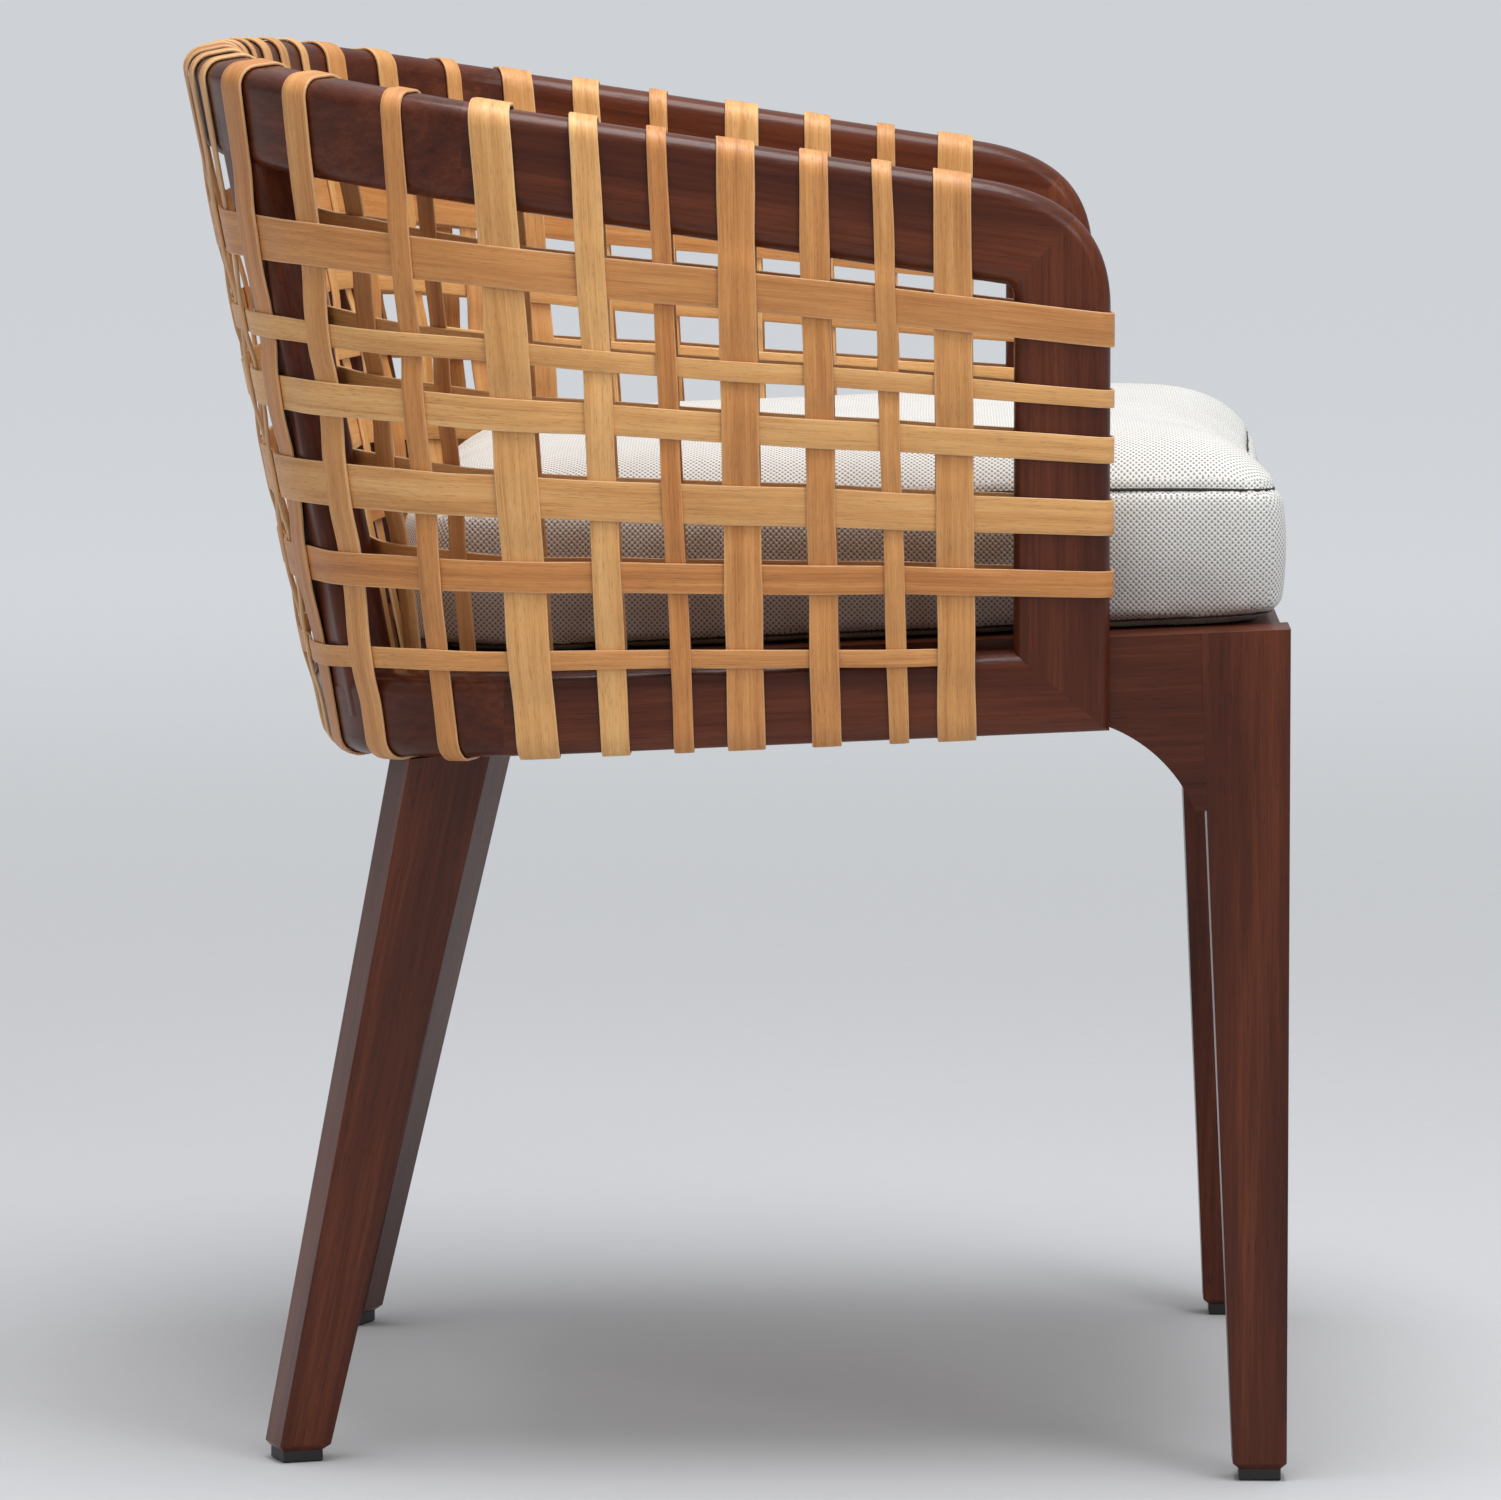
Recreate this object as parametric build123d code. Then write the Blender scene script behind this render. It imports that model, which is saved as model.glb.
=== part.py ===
from build123d import *
import math
import os

# A low armchair.  Four legs and a seat frame carry a loose box cushion, and a horseshoe-shaped
# basket stands round the seat: two bent rails, two arm posts and two rear posts, wrapped and
# woven with flat splint straps.  Millimetres, +Z up, the sitter faces -Y, the sitter's right
# side is -X, and the origin is on the floor under the middle of the whole chair.

# ---------------------------------------------------------------- driving dimensions
ARM_FRONT_Y = -193.5      # front face of the arm posts
ARM_CENTRE_X = 292.0      # middle of the arm rails, left and right of the centre line
RAIL_THICK = 28.0         # basket rails and posts, through the basket wall
TOP_RAIL_H = 50.0
LOW_RAIL_H = 42.0
POST_W = 48.0             # arm post, front to back
RAIL_EDGE_R = 9.0         # rounding along every rail and post
ARM_INNER_R = 5.0         # inside corner between arm and post

TOP_FRONT_Z = 644.5       # crest of the top rail above the arm post's front face
TOP_RISE = 0.148          # the top rail climbs towards the back
LOW_FRONT_Z = 379.5       # underside of the lower rail at the arm post's front face
LOW_RISE = -0.0454        # the lower rail and the seat fall towards the back

TOP_BACK_Y = 273.0        # middle of the top rail at the back
TOP_CORNER_R = 165.0
TOP_BOW_DEG = 12.0        # half the angle of the shallow curve across the back
LOW_BACK_Y = 199.0
LOW_CORNER_R = 100.0
LOW_BOW_DEG = 9.0

SEAT_FRONT_Y = -284.0     # front face of the front legs
SEAT_FRONT_Z = 430.0      # top of the seat frame there
SEAT_RAIL_H = 44.0
SEAT_RAIL_T = 24.0
SEAT_BACK_Y = 157.0       # rear face of the back seat rail

FRONT_LEG_X = 294.0       # outer face of the front legs
FRONT_LEG_TOP = 46.0
FRONT_LEG_FOOT = 27.0
REAR_LEG_FOOT = (233.0, 218.0)      # centre of the foot, x and y
REAR_LEG_HEAD = (240.0, 129.0)      # centre of the head, x and y
REAR_LEG_TURN = 21.0                # turned outwards in plan
REAR_LEG_TOP = (34.0, 46.0)
REAR_LEG_FOOT_W = 27.0
LEG_CHAMFER = 3.0
GLIDE_H = 6.0
GLIDE_W = 21.0

STRAP_T = 1.6
STRAP_FIT = 0.45          # daylight between a strap and the rail that it lies on
WEAVE_GAP = 0.3           # daylight between two straps where they cross
WIDE, NARROW, MEDIUM = 19.0, 10.0, 14.5
# Straps that run up and down, from the arm posts to the middle of the back: the distance along
# the lower rail and along the top rail.  The weaver set them by eye, so the sides differ.
RIGHT_LOW = (76, 105, 141, 181, 212, 246, 284, 325, 367, 412, 455, 497, 539, 581)
RIGHT_TOP = (79, 114, 148, 187, 226, 262, 307, 355, 410, 460, 503, 545, 588, 632)
LEFT_LOW = (74, 108, 145, 188, 225, 261, 298, 334, 374, 414, 452, 494, 536, 579)
LEFT_TOP = (76, 115, 153, 195, 241, 281, 322, 363, 411, 457, 499, 542, 586, 631)
# Straps that run round the basket: height up the wall as a share, and width.
ROUND_STRAPS = ((0.757, WIDE), (0.625, NARROW), (0.530, MEDIUM),
                (0.402, WIDE), (0.280, MEDIUM), (0.148, NARROW - 1.0))

REAR_POST_D = 478.0       # distance of the rear posts along the top rail from the arm front
REAR_POST_W = 44.0

CUSHION_H = 66.0          # boxing height
CUSHION_CROWN = 30.0
COVER_T = 1.2
CUSHION_GAP = 0.3


# ---------------------------------------------------------------- plan curves and the wall
class HalfRail:
    """One half of a horseshoe rail in plan: straight arm, corner arc, shallow back arc."""

    def __init__(self, corner_r, bow_deg, back_y):
        bow = math.radians(bow_deg)
        self.corner_r, self.bow = corner_r, bow
        self.back_r = corner_r + (ARM_CENTRE_X - corner_r) / math.sin(bow)
        self.back_cy = back_y - self.back_r
        self.corner_cx = ARM_CENTRE_X - corner_r
        self.corner_cy = self.back_cy + (self.back_r - corner_r) * math.cos(bow)
        self.arm = self.corner_cy - ARM_FRONT_Y
        self.corner = corner_r * (math.pi / 2 - bow)
        self.back = self.back_r * bow

    def share(self, distance):
        """Distance along the rail as 0..1 on the arm, 1..2 in the corner, 2..3 on the back."""
        if distance <= self.arm:
            return distance / self.arm
        if distance <= self.arm + self.corner:
            return 1 + (distance - self.arm) / self.corner
        return 2 + (distance - self.arm - self.corner) / self.back

    def at(self, share):
        """Point and outward angle (0 = sideways, 90 degrees = straight back)."""
        if share <= 1:
            return ARM_CENTRE_X, ARM_FRONT_Y + share * self.arm, 0.0
        if share <= 2:
            angle = (share - 1) * (math.pi / 2 - self.bow)
            return (self.corner_cx + self.corner_r * math.cos(angle),
                    self.corner_cy + self.corner_r * math.sin(angle), angle)
        angle = math.pi / 2 - self.bow + (share - 2) * self.bow
        return self.back_r * math.cos(angle), self.back_cy + self.back_r * math.sin(angle), angle


TOP = HalfRail(TOP_CORNER_R, TOP_BOW_DEG, TOP_BACK_Y)
LOW = HalfRail(LOW_CORNER_R, LOW_BOW_DEG, LOW_BACK_Y)


def top_z(y):
    return TOP_FRONT_Z + TOP_RISE * (y - ARM_FRONT_Y)


def low_z(y):
    return LOW_FRONT_Z + LOW_RISE * (y - ARM_FRONT_Y)


def seat_z(y):
    return SEAT_FRONT_Z + LOW_RISE * (y - SEAT_FRONT_Y)


def wall(u, v):
    """Middle of the basket wall.  u runs 0..6 from the right arm round the back to the left
    arm, v runs 0..1 from the lower rail's underside to the top rail's crest.  Gives the point,
    the outward normal, the direction along the wall and the wall's sloping height."""
    side, share = (-1, u) if u <= 3 else (1, 6 - u)
    low_x, low_y, low_a = LOW.at(share)
    top_x, top_y, top_a = TOP.at(share)
    foot, head = low_z(low_y), top_z(top_y)
    x, y, z = (low + v * (high - low) for low, high in
               ((low_x, top_x), (low_y, top_y), (foot, head)))
    angle = low_a + v * (top_a - low_a)
    lean = ((top_x - low_x) * math.cos(angle) + (top_y - low_y) * math.sin(angle)) / (head - foot)
    outward = Vector(side * math.cos(angle), math.sin(angle), -lean).normalized()
    along = Vector(-side * math.sin(angle), math.cos(angle), 0)
    return Vector(side * x, y, z), outward, along, (head - foot) * math.hypot(1, lean)


def wall_point(u, v, offset):
    middle, outward, _, _ = wall(u, v)
    return middle + outward * offset


def rail_share(rail_height, at_top):
    """Function of u giving the v of a rail's middle line."""
    def share(u):
        height = wall(u, 0.5)[3]
        return 1 - rail_height / 2 / height if at_top else rail_height / 2 / height
    return share


TOP_MIDDLE = rail_share(TOP_RAIL_H, True)
LOW_MIDDLE = rail_share(LOW_RAIL_H, False)


# ---------------------------------------------------------------- small helpers
def save(name, *solids):
    shape = solids[0] if len(solids) == 1 else Compound(children=list(solids))
    shape.label = name
    export_step(shape, f"parts/{name}.step")


def mirrored(shape):
    return mirror(shape, about=Plane.YZ)


def side_extrude(outline, x_low, x_high):
    """Solid from an outline given as (y, z) corners, between two x values."""
    wire = Wire.make_polygon([Vector(x_low, y, z) for y, z in outline], close=True)
    return Solid.extrude(Face(wire), Vector(x_high - x_low, 0, 0))


def rod(start, end, radius):
    start, end = Vector(*start), Vector(*end)
    reach = end - start
    return Plane(origin=start, z_dir=reach) * Cylinder(
        radius, reach.length, align=(Align.CENTER, Align.CENTER, Align.MIN))


def screw(head_at, direction, length, radius, head_radius):
    """Countersunk wood screw: cone head, shank and a pointed end."""
    plane = Plane(origin=Vector(*head_at), z_dir=Vector(*direction))
    head_h = head_radius - radius
    head = Cone(head_radius, radius, head_h, align=(Align.CENTER, Align.CENTER, Align.MIN))
    shank = Pos(0, 0, head_h) * Cylinder(
        radius, length - head_h - 2 * radius, align=(Align.CENTER, Align.CENTER, Align.MIN))
    tip = Pos(0, 0, length - 2 * radius) * Cone(
        radius, 0.2 * radius, 2 * radius, align=(Align.CENTER, Align.CENTER, Align.MIN))
    return plane * (head + shank + tip)


# ---------------------------------------------------------------- bent rails and posts
def rail_section(u, v, height):
    middle, outward, along, _ = wall(u, v)
    plane = Plane(origin=middle, x_dir=outward, z_dir=along)
    return plane * RectangleRounded(RAIL_THICK, height, RAIL_EDGE_R)


def bent_rail(u_from, u_to, middle_share, height, steps, start=None):
    """Loft of rounded sections along the wall.  start, if given, is the first section."""
    sections = []
    for i in range(steps + 1):
        u = u_from + (u_to - u_from) * i / steps
        sections.append(rail_section(u, middle_share(u), height))
    if start is not None:
        sections[0] = start
    return loft(sections)


def long_edges(bar):
    """The edges that run along a bar which was extruded through the wall's thickness."""
    return [e for e in bar.edges() if abs(e.tangent_at(0.5).X) < 0.5]


def round_bar(bar, end_y, end_z):
    """Round the long edges of a bar, leaving the edges of its two cut ends square."""
    keep = []
    for edge in long_edges(bar):
        middle = edge.position_at(0.5)
        if abs(middle.Y - end_y) > 0.01 and abs(middle.Z - end_z) > 0.01:
            keep.append(edge)
    return fillet(keep, RAIL_EDGE_R)


X_IN, X_OUT = ARM_CENTRE_X - RAIL_THICK / 2, ARM_CENTRE_X + RAIL_THICK / 2
POST_BACK_Y = ARM_FRONT_Y + POST_W
TOP_SPLIT_U = TOP.share(LEFT_TOP[6])
LOW_SPLIT_U = LOW.share(LEFT_LOW[6])


def arm_bend():
    """Left arm from the corner start forwards, over the front bend and down the post."""
    rear_y = wall(5, TOP_MIDDLE(5))[0].Y
    rise = TOP_RISE * TOP.arm / (rear_y - ARM_FRONT_Y)

    def crest(y):
        return TOP_FRONT_Z + rise * (y - ARM_FRONT_Y)

    bend_top_y = ARM_FRONT_Y + 66
    bend_foot_z = crest(bend_top_y) - 64
    under_z = crest(POST_BACK_Y) - TOP_RAIL_H
    crest_start = Vector(0, rear_y, crest(rear_y))
    crest_end = Vector(0, bend_top_y, crest(bend_top_y))
    front_top = Vector(0, ARM_FRONT_Y, bend_foot_z)
    front_foot = Vector(0, ARM_FRONT_Y, LOW_FRONT_Z)
    back_foot = Vector(0, POST_BACK_Y, LOW_FRONT_Z)
    down_the_rail = Vector(0, -1, -rise)
    inner_foot = Vector(0, POST_BACK_Y, under_z - ARM_INNER_R * (1 + rise))
    inner_head = Vector(0, POST_BACK_Y + ARM_INNER_R, under_z + rise * ARM_INNER_R)
    under_rear = Vector(0, rear_y, crest(rear_y) - TOP_RAIL_H)
    wire = Wire([
        Edge.make_line(crest_start, crest_end),
        Edge.make_spline([crest_end, front_top], tangents=[down_the_rail, Vector(0, 0, -1)]),
        Edge.make_line(front_top, front_foot),
        Edge.make_line(front_foot, back_foot),
        Edge.make_line(back_foot, inner_foot),
        Edge.make_spline([inner_foot, inner_head], tangents=[Vector(0, 0, 1), -down_the_rail]),
        Edge.make_line(inner_head, under_rear),
        Edge.make_line(under_rear, crest_start)])
    bar = Pos(X_IN, 0, 0) * Solid.extrude(Face(wire), Vector(RAIL_THICK, 0, 0))
    return round_bar(bar, rear_y, LOW_FRONT_Z)


def lower_arm_bar():
    """Left lower rail, straight part, reaching forwards to the post's front face."""
    return loft([rail_section(u, LOW_MIDDLE(u), LOW_RAIL_H) for u in (6, 5)])


def mitre(inner, outer, behind):
    """Wedge on one side of the mitre line through two (y, z) points, for cutting bars."""
    reach = 400
    dy, dz = outer[0] - inner[0], outer[1] - inner[1]
    length = math.hypot(dy, dz)
    dy, dz = dy / length, dz / length
    ny, nz = (-dz, dy) if behind else (dz, -dy)
    a = (inner[0] - dy * reach, inner[1] - dz * reach)
    b = (inner[0] + dy * reach, inner[1] + dz * reach)
    return side_extrude([a, b, (b[0] + ny * reach, b[1] + nz * reach),
                         (a[0] + ny * reach, a[1] + nz * reach)], X_IN - 5, X_OUT + 5)


def basket_frame():
    """Left arm rail, post and lower rail, cut apart on mitres like a picture frame."""
    bend = arm_bend()
    inner_top = (POST_BACK_Y, top_z(POST_BACK_Y) - TOP_RAIL_H)
    inner_low = (POST_BACK_Y, low_z(POST_BACK_Y) + LOW_RAIL_H)
    rail_side = mitre(inner_top, (inner_top[0] - 30, inner_top[1] + 34), behind=False)
    low_side = mitre(inner_low, (ARM_FRONT_Y, LOW_FRONT_Z), behind=True)
    arm = bend & rail_side
    post = bend - rail_side - low_side
    lower = lower_arm_bar() & low_side
    rear_end = arm.faces().sort_by(Axis.Y)[-1]
    arm += bent_rail(5, 6 - TOP_SPLIT_U, TOP_MIDDLE, TOP_RAIL_H, 3, start=rear_end)
    lower += bent_rail(5, 6 - LOW_SPLIT_U, LOW_MIDDLE, LOW_RAIL_H, 3)
    return arm, post, lower


REAR_POST_U = 6 - TOP.share(REAR_POST_D)


def rear_post():
    """Left rear post: leans with the wall and is coped to both rails."""
    sections = []
    for v in (LOW_MIDDLE(REAR_POST_U), TOP_MIDDLE(REAR_POST_U)):
        middle, outward, along, _ = wall(REAR_POST_U, v)
        up = outward.cross(along)
        plane = Plane(origin=middle, x_dir=outward, z_dir=up if up.Z > 0 else -up)
        sections.append(plane * RectangleRounded(RAIL_THICK - 1, REAR_POST_W, RAIL_EDGE_R - 2))
    return loft(sections)


# ---------------------------------------------------------------- legs and seat frame
def basket_room():
    """Space that the left half of the lower rail and the straps on it take up."""
    inwards, outwards, below, above = 18.4, 40.0, 2.6, 70.0
    sections = []
    for i in range(25):
        u = 6 - i / 8
        height = wall(u, 0.5)[3]
        middle, outward, along, _ = wall(u, (above - below) / 2 / height)
        plane = Plane(origin=middle + outward * (outwards - inwards) / 2, x_dir=outward, z_dir=along)
        sections.append(plane * Rectangle(inwards + outwards, above + below))
    return loft(sections)


BASKET_ROOM = basket_room()


def tapered_leg(head, foot, head_z, foot_z):
    """Loft between two plan rectangles given as Locations with sizes, foot chamfered."""
    (head_at, head_size), (foot_at, foot_size) = head, foot
    share = LEG_CHAMFER / (head_z - foot_z)
    ankle_at = [f + share * (h - f) for f, h in zip(foot_at, head_at)]
    ankle_size = [f + share * (h - f) for f, h in zip(foot_size, head_size)]
    toe_size = [s - 2 * LEG_CHAMFER for s in foot_size]
    solid = None
    for low, high in (((foot_at, toe_size, foot_z), (ankle_at, ankle_size, foot_z + LEG_CHAMFER)),
                      ((ankle_at, ankle_size, foot_z + LEG_CHAMFER), (head_at, head_size, head_z))):
        sections = [Pos(at[0], at[1], z) * Rot(0, 0, at[2]) * RectangleRounded(*size, 1.2)
                    for at, size, z in (low, high)]
        piece = loft(sections, ruled=True)
        solid = piece if solid is None else solid + piece
    return solid


def below_seat(extra=0.0):
    """Everything under the sloping top of the seat frame."""
    reach = 500
    return side_extrude([(-reach, seat_z(-reach) + extra), (reach, seat_z(reach) + extra),
                         (reach, -50), (-reach, -50)], -reach, reach)


def front_leg():
    """Left front leg: straight front and outer faces, the other two taper to the foot."""
    head = (FRONT_LEG_X - FRONT_LEG_TOP / 2, SEAT_FRONT_Y + FRONT_LEG_TOP / 2, 0)
    foot = (FRONT_LEG_X - FRONT_LEG_FOOT / 2, SEAT_FRONT_Y + FRONT_LEG_FOOT / 2, 0)
    leg = tapered_leg((head, (FRONT_LEG_TOP,) * 2), (foot, (FRONT_LEG_FOOT,) * 2),
                      SEAT_FRONT_Z + 5, GLIDE_H)
    return leg & below_seat()


def rear_leg():
    """Left rear leg: raked back and turned outwards a little."""
    head = (*REAR_LEG_HEAD, -REAR_LEG_TURN)
    foot = (*REAR_LEG_FOOT, -REAR_LEG_TURN)
    leg = tapered_leg((head, REAR_LEG_TOP), (foot, (REAR_LEG_FOOT_W,) * 2),
                      SEAT_FRONT_Z, GLIDE_H) & below_seat()
    return leg - BASKET_ROOM


def glide(x, y, turn):
    """Foot glide: square pad with a nail that goes up into the leg."""
    pad = Pos(x, y, GLIDE_H / 2) * Rot(0, 0, turn) * Box(GLIDE_W, GLIDE_W, GLIDE_H)
    pad = chamfer(pad.faces().sort_by(Axis.Z)[0].edges(), 0.8)
    return pad + Pos(x, y, GLIDE_H) * Cylinder(2, 14, align=(Align.CENTER, Align.CENTER, Align.MIN))


def bracket():
    """Left ear behind the front leg: carries the leg's line round into the seat rail."""
    z = seat_z(ARM_FRONT_Y) - SEAT_RAIL_H - 1.0
    leg_y = SEAT_FRONT_Y + FRONT_LEG_TOP - 10
    foot_y, foot_z = ARM_FRONT_Y - 43, z - 42
    wire = Wire([
        Edge.make_line(Vector(0, ARM_FRONT_Y, 460), Vector(0, ARM_FRONT_Y, z)),
        Edge.make_three_point_arc(Vector(0, ARM_FRONT_Y, z), Vector(0, ARM_FRONT_Y - 22.5, z - 13.5),
                                  Vector(0, foot_y, foot_z)),
        Edge.make_line(Vector(0, foot_y, foot_z), Vector(0, leg_y, foot_z)),
        Edge.make_line(Vector(0, leg_y, foot_z), Vector(0, leg_y, 460)),
        Edge.make_line(Vector(0, leg_y, 460), Vector(0, ARM_FRONT_Y, 460))])
    ear = Pos(FRONT_LEG_X - FRONT_LEG_TOP, 0, 0) * Solid.extrude(
        Face(wire), Vector(FRONT_LEG_TOP - 0.4, 0, 0))
    return (ear & below_seat()) - front_leg()


SIDE_RAIL_OUT = X_IN - 4.8
SIDE_RAIL_IN = SIDE_RAIL_OUT - SEAT_RAIL_T


def seat_rail_block(low_xy, high_xy):
    """A rail's plain board, between two plan corners, under the sloping seat plane."""
    bottom = [(y, seat_z(y) - SEAT_RAIL_H) for y in (low_xy[1], high_xy[1])]
    top = [(y, seat_z(y)) for y in (high_xy[1], low_xy[1])]
    return side_extrude(bottom + top, low_xy[0], high_xy[0])


def side_seat_rail():
    board = seat_rail_block((SIDE_RAIL_IN, ARM_FRONT_Y), (SIDE_RAIL_OUT, SEAT_BACK_Y))
    pieces = (board - rear_leg() - BASKET_ROOM).solids()
    return max(pieces, key=lambda s: s.volume)


def front_seat_rail():
    half = FRONT_LEG_X - FRONT_LEG_TOP
    return seat_rail_block((-half, SEAT_FRONT_Y + 4), (half, SEAT_FRONT_Y + 4 + SEAT_RAIL_T))


def back_seat_rail():
    leg = rear_leg()
    board = seat_rail_block((-SIDE_RAIL_IN, SEAT_BACK_Y - SEAT_RAIL_T), (SIDE_RAIL_IN, SEAT_BACK_Y))
    pieces = (board - leg - mirrored(leg) - BASKET_ROOM - mirrored(BASKET_ROOM)).solids()
    return max(pieces, key=lambda s: s.volume)


DECK_T = 12.0
DECK_X = SIDE_RAIL_IN - 0.5
DECK_Y = (SEAT_FRONT_Y + 4 + SEAT_RAIL_T + 0.5, SEAT_BACK_Y - SEAT_RAIL_T - 0.5)


def sloped_slab(low_xy, high_xy, top_drop, thickness):
    bottom = [(y, seat_z(y) - top_drop - thickness) for y in (low_xy[1], high_xy[1])]
    top = [(y, seat_z(y) - top_drop) for y in (high_xy[1], low_xy[1])]
    return side_extrude(bottom + top, low_xy[0], high_xy[0])


def corner_block(at_front):
    """Left glue block in a corner of the seat frame; it carries the deck."""
    y = DECK_Y[0] if at_front else DECK_Y[1] - 46
    slab = sloped_slab((SIDE_RAIL_IN - 46, y), (SIDE_RAIL_IN, y + 46), DECK_T + 1, 22)
    return slab - front_leg() - bracket() - rear_leg() - BASKET_ROOM


def deck():
    board = sloped_slab((-DECK_X, DECK_Y[0]), (DECK_X, DECK_Y[1]), 1.0, DECK_T)
    for piece in (front_leg(), bracket(), rear_leg(), BASKET_ROOM):
        board = board - piece - mirrored(piece)
    return board


# ---------------------------------------------------------------- woven straps
STRAP_LIE = RAIL_THICK / 2 + STRAP_FIT + STRAP_T / 2      # middle of a strap on a rail
WEAVE_AMP = (STRAP_T + WEAVE_GAP) / 2


def smooth(t):
    t = min(max(t, 0.0), 1.0)
    return t * t * (3 - 2 * t)


def over_under(x, zones):
    """-1 under, +1 over.  zones lists (start, end, sign) in rising order; between two zones
    the strap passes smoothly from one to the other."""
    if x <= zones[0][0]:
        return zones[0][2]
    for (_, end, sign), (start, _, next_sign) in zip(zones, zones[1:]):
        if x <= end:
            return sign
        if x < start:
            return sign + (next_sign - sign) * smooth((x - end) / (start - end))
    return zones[-1][2]


def upright_straps():
    """(low u, high u, low distance, top distance, width, left side?) of each strap."""
    widths = (WIDE, NARROW, MEDIUM)
    straps = []
    for side, lows, tops in (("right", RIGHT_LOW, RIGHT_TOP), ("left", LEFT_LOW, LEFT_TOP)):
        for i, (low, top) in enumerate(zip(lows, tops)):
            straps.append((side, i + 1, low, top, widths[i % 3]))
    middle_low = LOW.arm + LOW.corner + LOW.back
    middle_top = TOP.arm + TOP.corner + TOP.back
    straps.append(("back", len(RIGHT_LOW) + 1, middle_low, middle_top, WIDE))
    return straps


def share_past_middle(rail, distance):
    """u for a distance along a rail that may run past the middle of the back."""
    whole = rail.arm + rail.corner + rail.back
    return rail.share(distance) if distance <= whole else 6 - rail.share(2 * whole - distance)


def strap_line(strap, shift):
    """Function v -> u of the line that runs up a strap, shifted sideways by shift."""
    side, _, low, top, _ = strap
    low_u = share_past_middle(LOW, low + shift)
    top_u = share_past_middle(TOP, top + shift)
    if side == "left":
        low_u, top_u = 6 - low_u, 6 - top_u
    return lambda v: low_u + v * (top_u - low_u)


def hoop_zones(u, number, inner):
    """Where the round straps cross an upright strap, as zones in v."""
    height = wall(u, 0.5)[3]
    zones = [(0.0, LOW_RAIL_H * 0.6 / height, -1)]
    for hoop in range(len(ROUND_STRAPS) - (1 if inner else 0), 0, -1):
        v, width = ROUND_STRAPS[hoop - 1]
        half = (width / 2 + 1.0) / height
        upright_over = (number + hoop) % 2 == (0 if inner else 1)
        zones.append((v - half, v + half, 1 if upright_over else -1))
    zones.append((1 - (TOP_RAIL_H - 2) / height, 1.0, -1))
    return zones


def weave_offset(sign):
    return STRAP_LIE + WEAVE_AMP + sign * WEAVE_AMP


def upright_path(strap, skin, steps=48):
    """(v, offset) pairs once round the strap: up outside, over, down inside, under.  skin is
    how far the wanted face lies from the middle of the strap's thickness."""
    u = strap_line(strap, 0)(0.5)
    height = wall(u, 0.5)[3]
    wrap_r = RAIL_EDGE_R + STRAP_FIT + STRAP_T / 2 + skin
    flat = RAIL_THICK / 2 - RAIL_EDGE_R
    low_turn = RAIL_EDGE_R / height
    top_turn = 1 - RAIL_EDGE_R / height
    runs = [low_turn + (top_turn - low_turn) * i / steps for i in range(steps + 1)]
    turn = [math.radians(a) for a in (22.5, 45, 67.5, 90)]
    path = []
    for face in (1, -1):
        zones = hoop_zones(u, strap[1], inner=face < 0)
        up = [(v, face * (weave_offset(over_under(v, zones)) + skin)) for v in runs]
        over = [(top_turn + wrap_r * math.sin(a) / height, face * (flat + wrap_r * math.cos(a)))
                for a in turn]
        under = [(low_turn - wrap_r * math.sin(a) / height, face * (flat + wrap_r * math.cos(a)))
                 for a in turn]
        half = under[::-1] + up + over
        path += half if face > 0 else half[::-1]
    return path


def band(loops):
    """Solid between closed curves: each neighbouring pair of curves is joined by a ruled face."""
    edges = [Edge.make_spline(points, periodic=True) for points in loops]
    faces = [Face.make_surface_from_curves(edges[i], edges[(i + 1) % len(edges)])
             for i in range(len(edges))]
    return Solid(Shell(faces))


def upright_strap(strap):
    half = strap[4] / 2
    loops = []
    for skin, shifts in ((STRAP_T / 2, (-half, 0, half)), (-STRAP_T / 2, (half, 0, -half))):
        path = upright_path(strap, skin)
        for shift in shifts:
            line = strap_line(strap, shift)
            loops.append([wall_point(line(v), v, offset) for v, offset in path])
    return band(loops)


def round_zones(v, number, straps, inner):
    """Where the upright straps cross a round strap, as zones in u, from right to left."""
    zones = [(-0.1, POST_W / TOP.arm, -1)]
    for strap in straps:
        edges = sorted(strap_line(strap, s * (strap[4] / 2 + 1.0))(v) for s in (-1, 1))
        round_over = (strap[1] + number) % 2 == (1 if inner else 0)
        zones.append((edges[0], edges[1], 1 if round_over else -1))
    zones.append((6 - POST_W / TOP.arm, 6.1, -1))
    return zones


def straps_in_order():
    straps = upright_straps()
    right = [s for s in straps if s[0] == "right"]
    left = [s for s in straps if s[0] == "left"]
    return right + [s for s in straps if s[0] == "back"] + left[::-1]


def round_path(v, number, skin, steps=264):
    """(u, offset) pairs once round the strap: outside from right to left, round the left
    post's front, back inside, and round the right post's front."""
    wrap_r = RAIL_EDGE_R + STRAP_FIT + STRAP_T / 2 + skin
    flat = RAIL_THICK / 2 - RAIL_EDGE_R
    first = RAIL_EDGE_R / TOP.arm
    runs = [first + (6 - 2 * first) * i / steps for i in range(steps + 1)]
    turn = [math.radians(a) for a in (22.5, 45, 67.5, 90)]
    path = []
    for face in (1, -1):
        zones = round_zones(v, number, straps_in_order(), inner=face < 0)
        run = [(u, face * (weave_offset(over_under(u, zones)) + skin)) for u in runs]
        ends = [(first - wrap_r * math.sin(a) / TOP.arm, face * (flat + wrap_r * math.cos(a)))
                for a in turn]
        half = ends[::-1] + run + [(6 - u, offset) for u, offset in ends]
        path += half if face > 0 else half[::-1]
    return path


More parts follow.
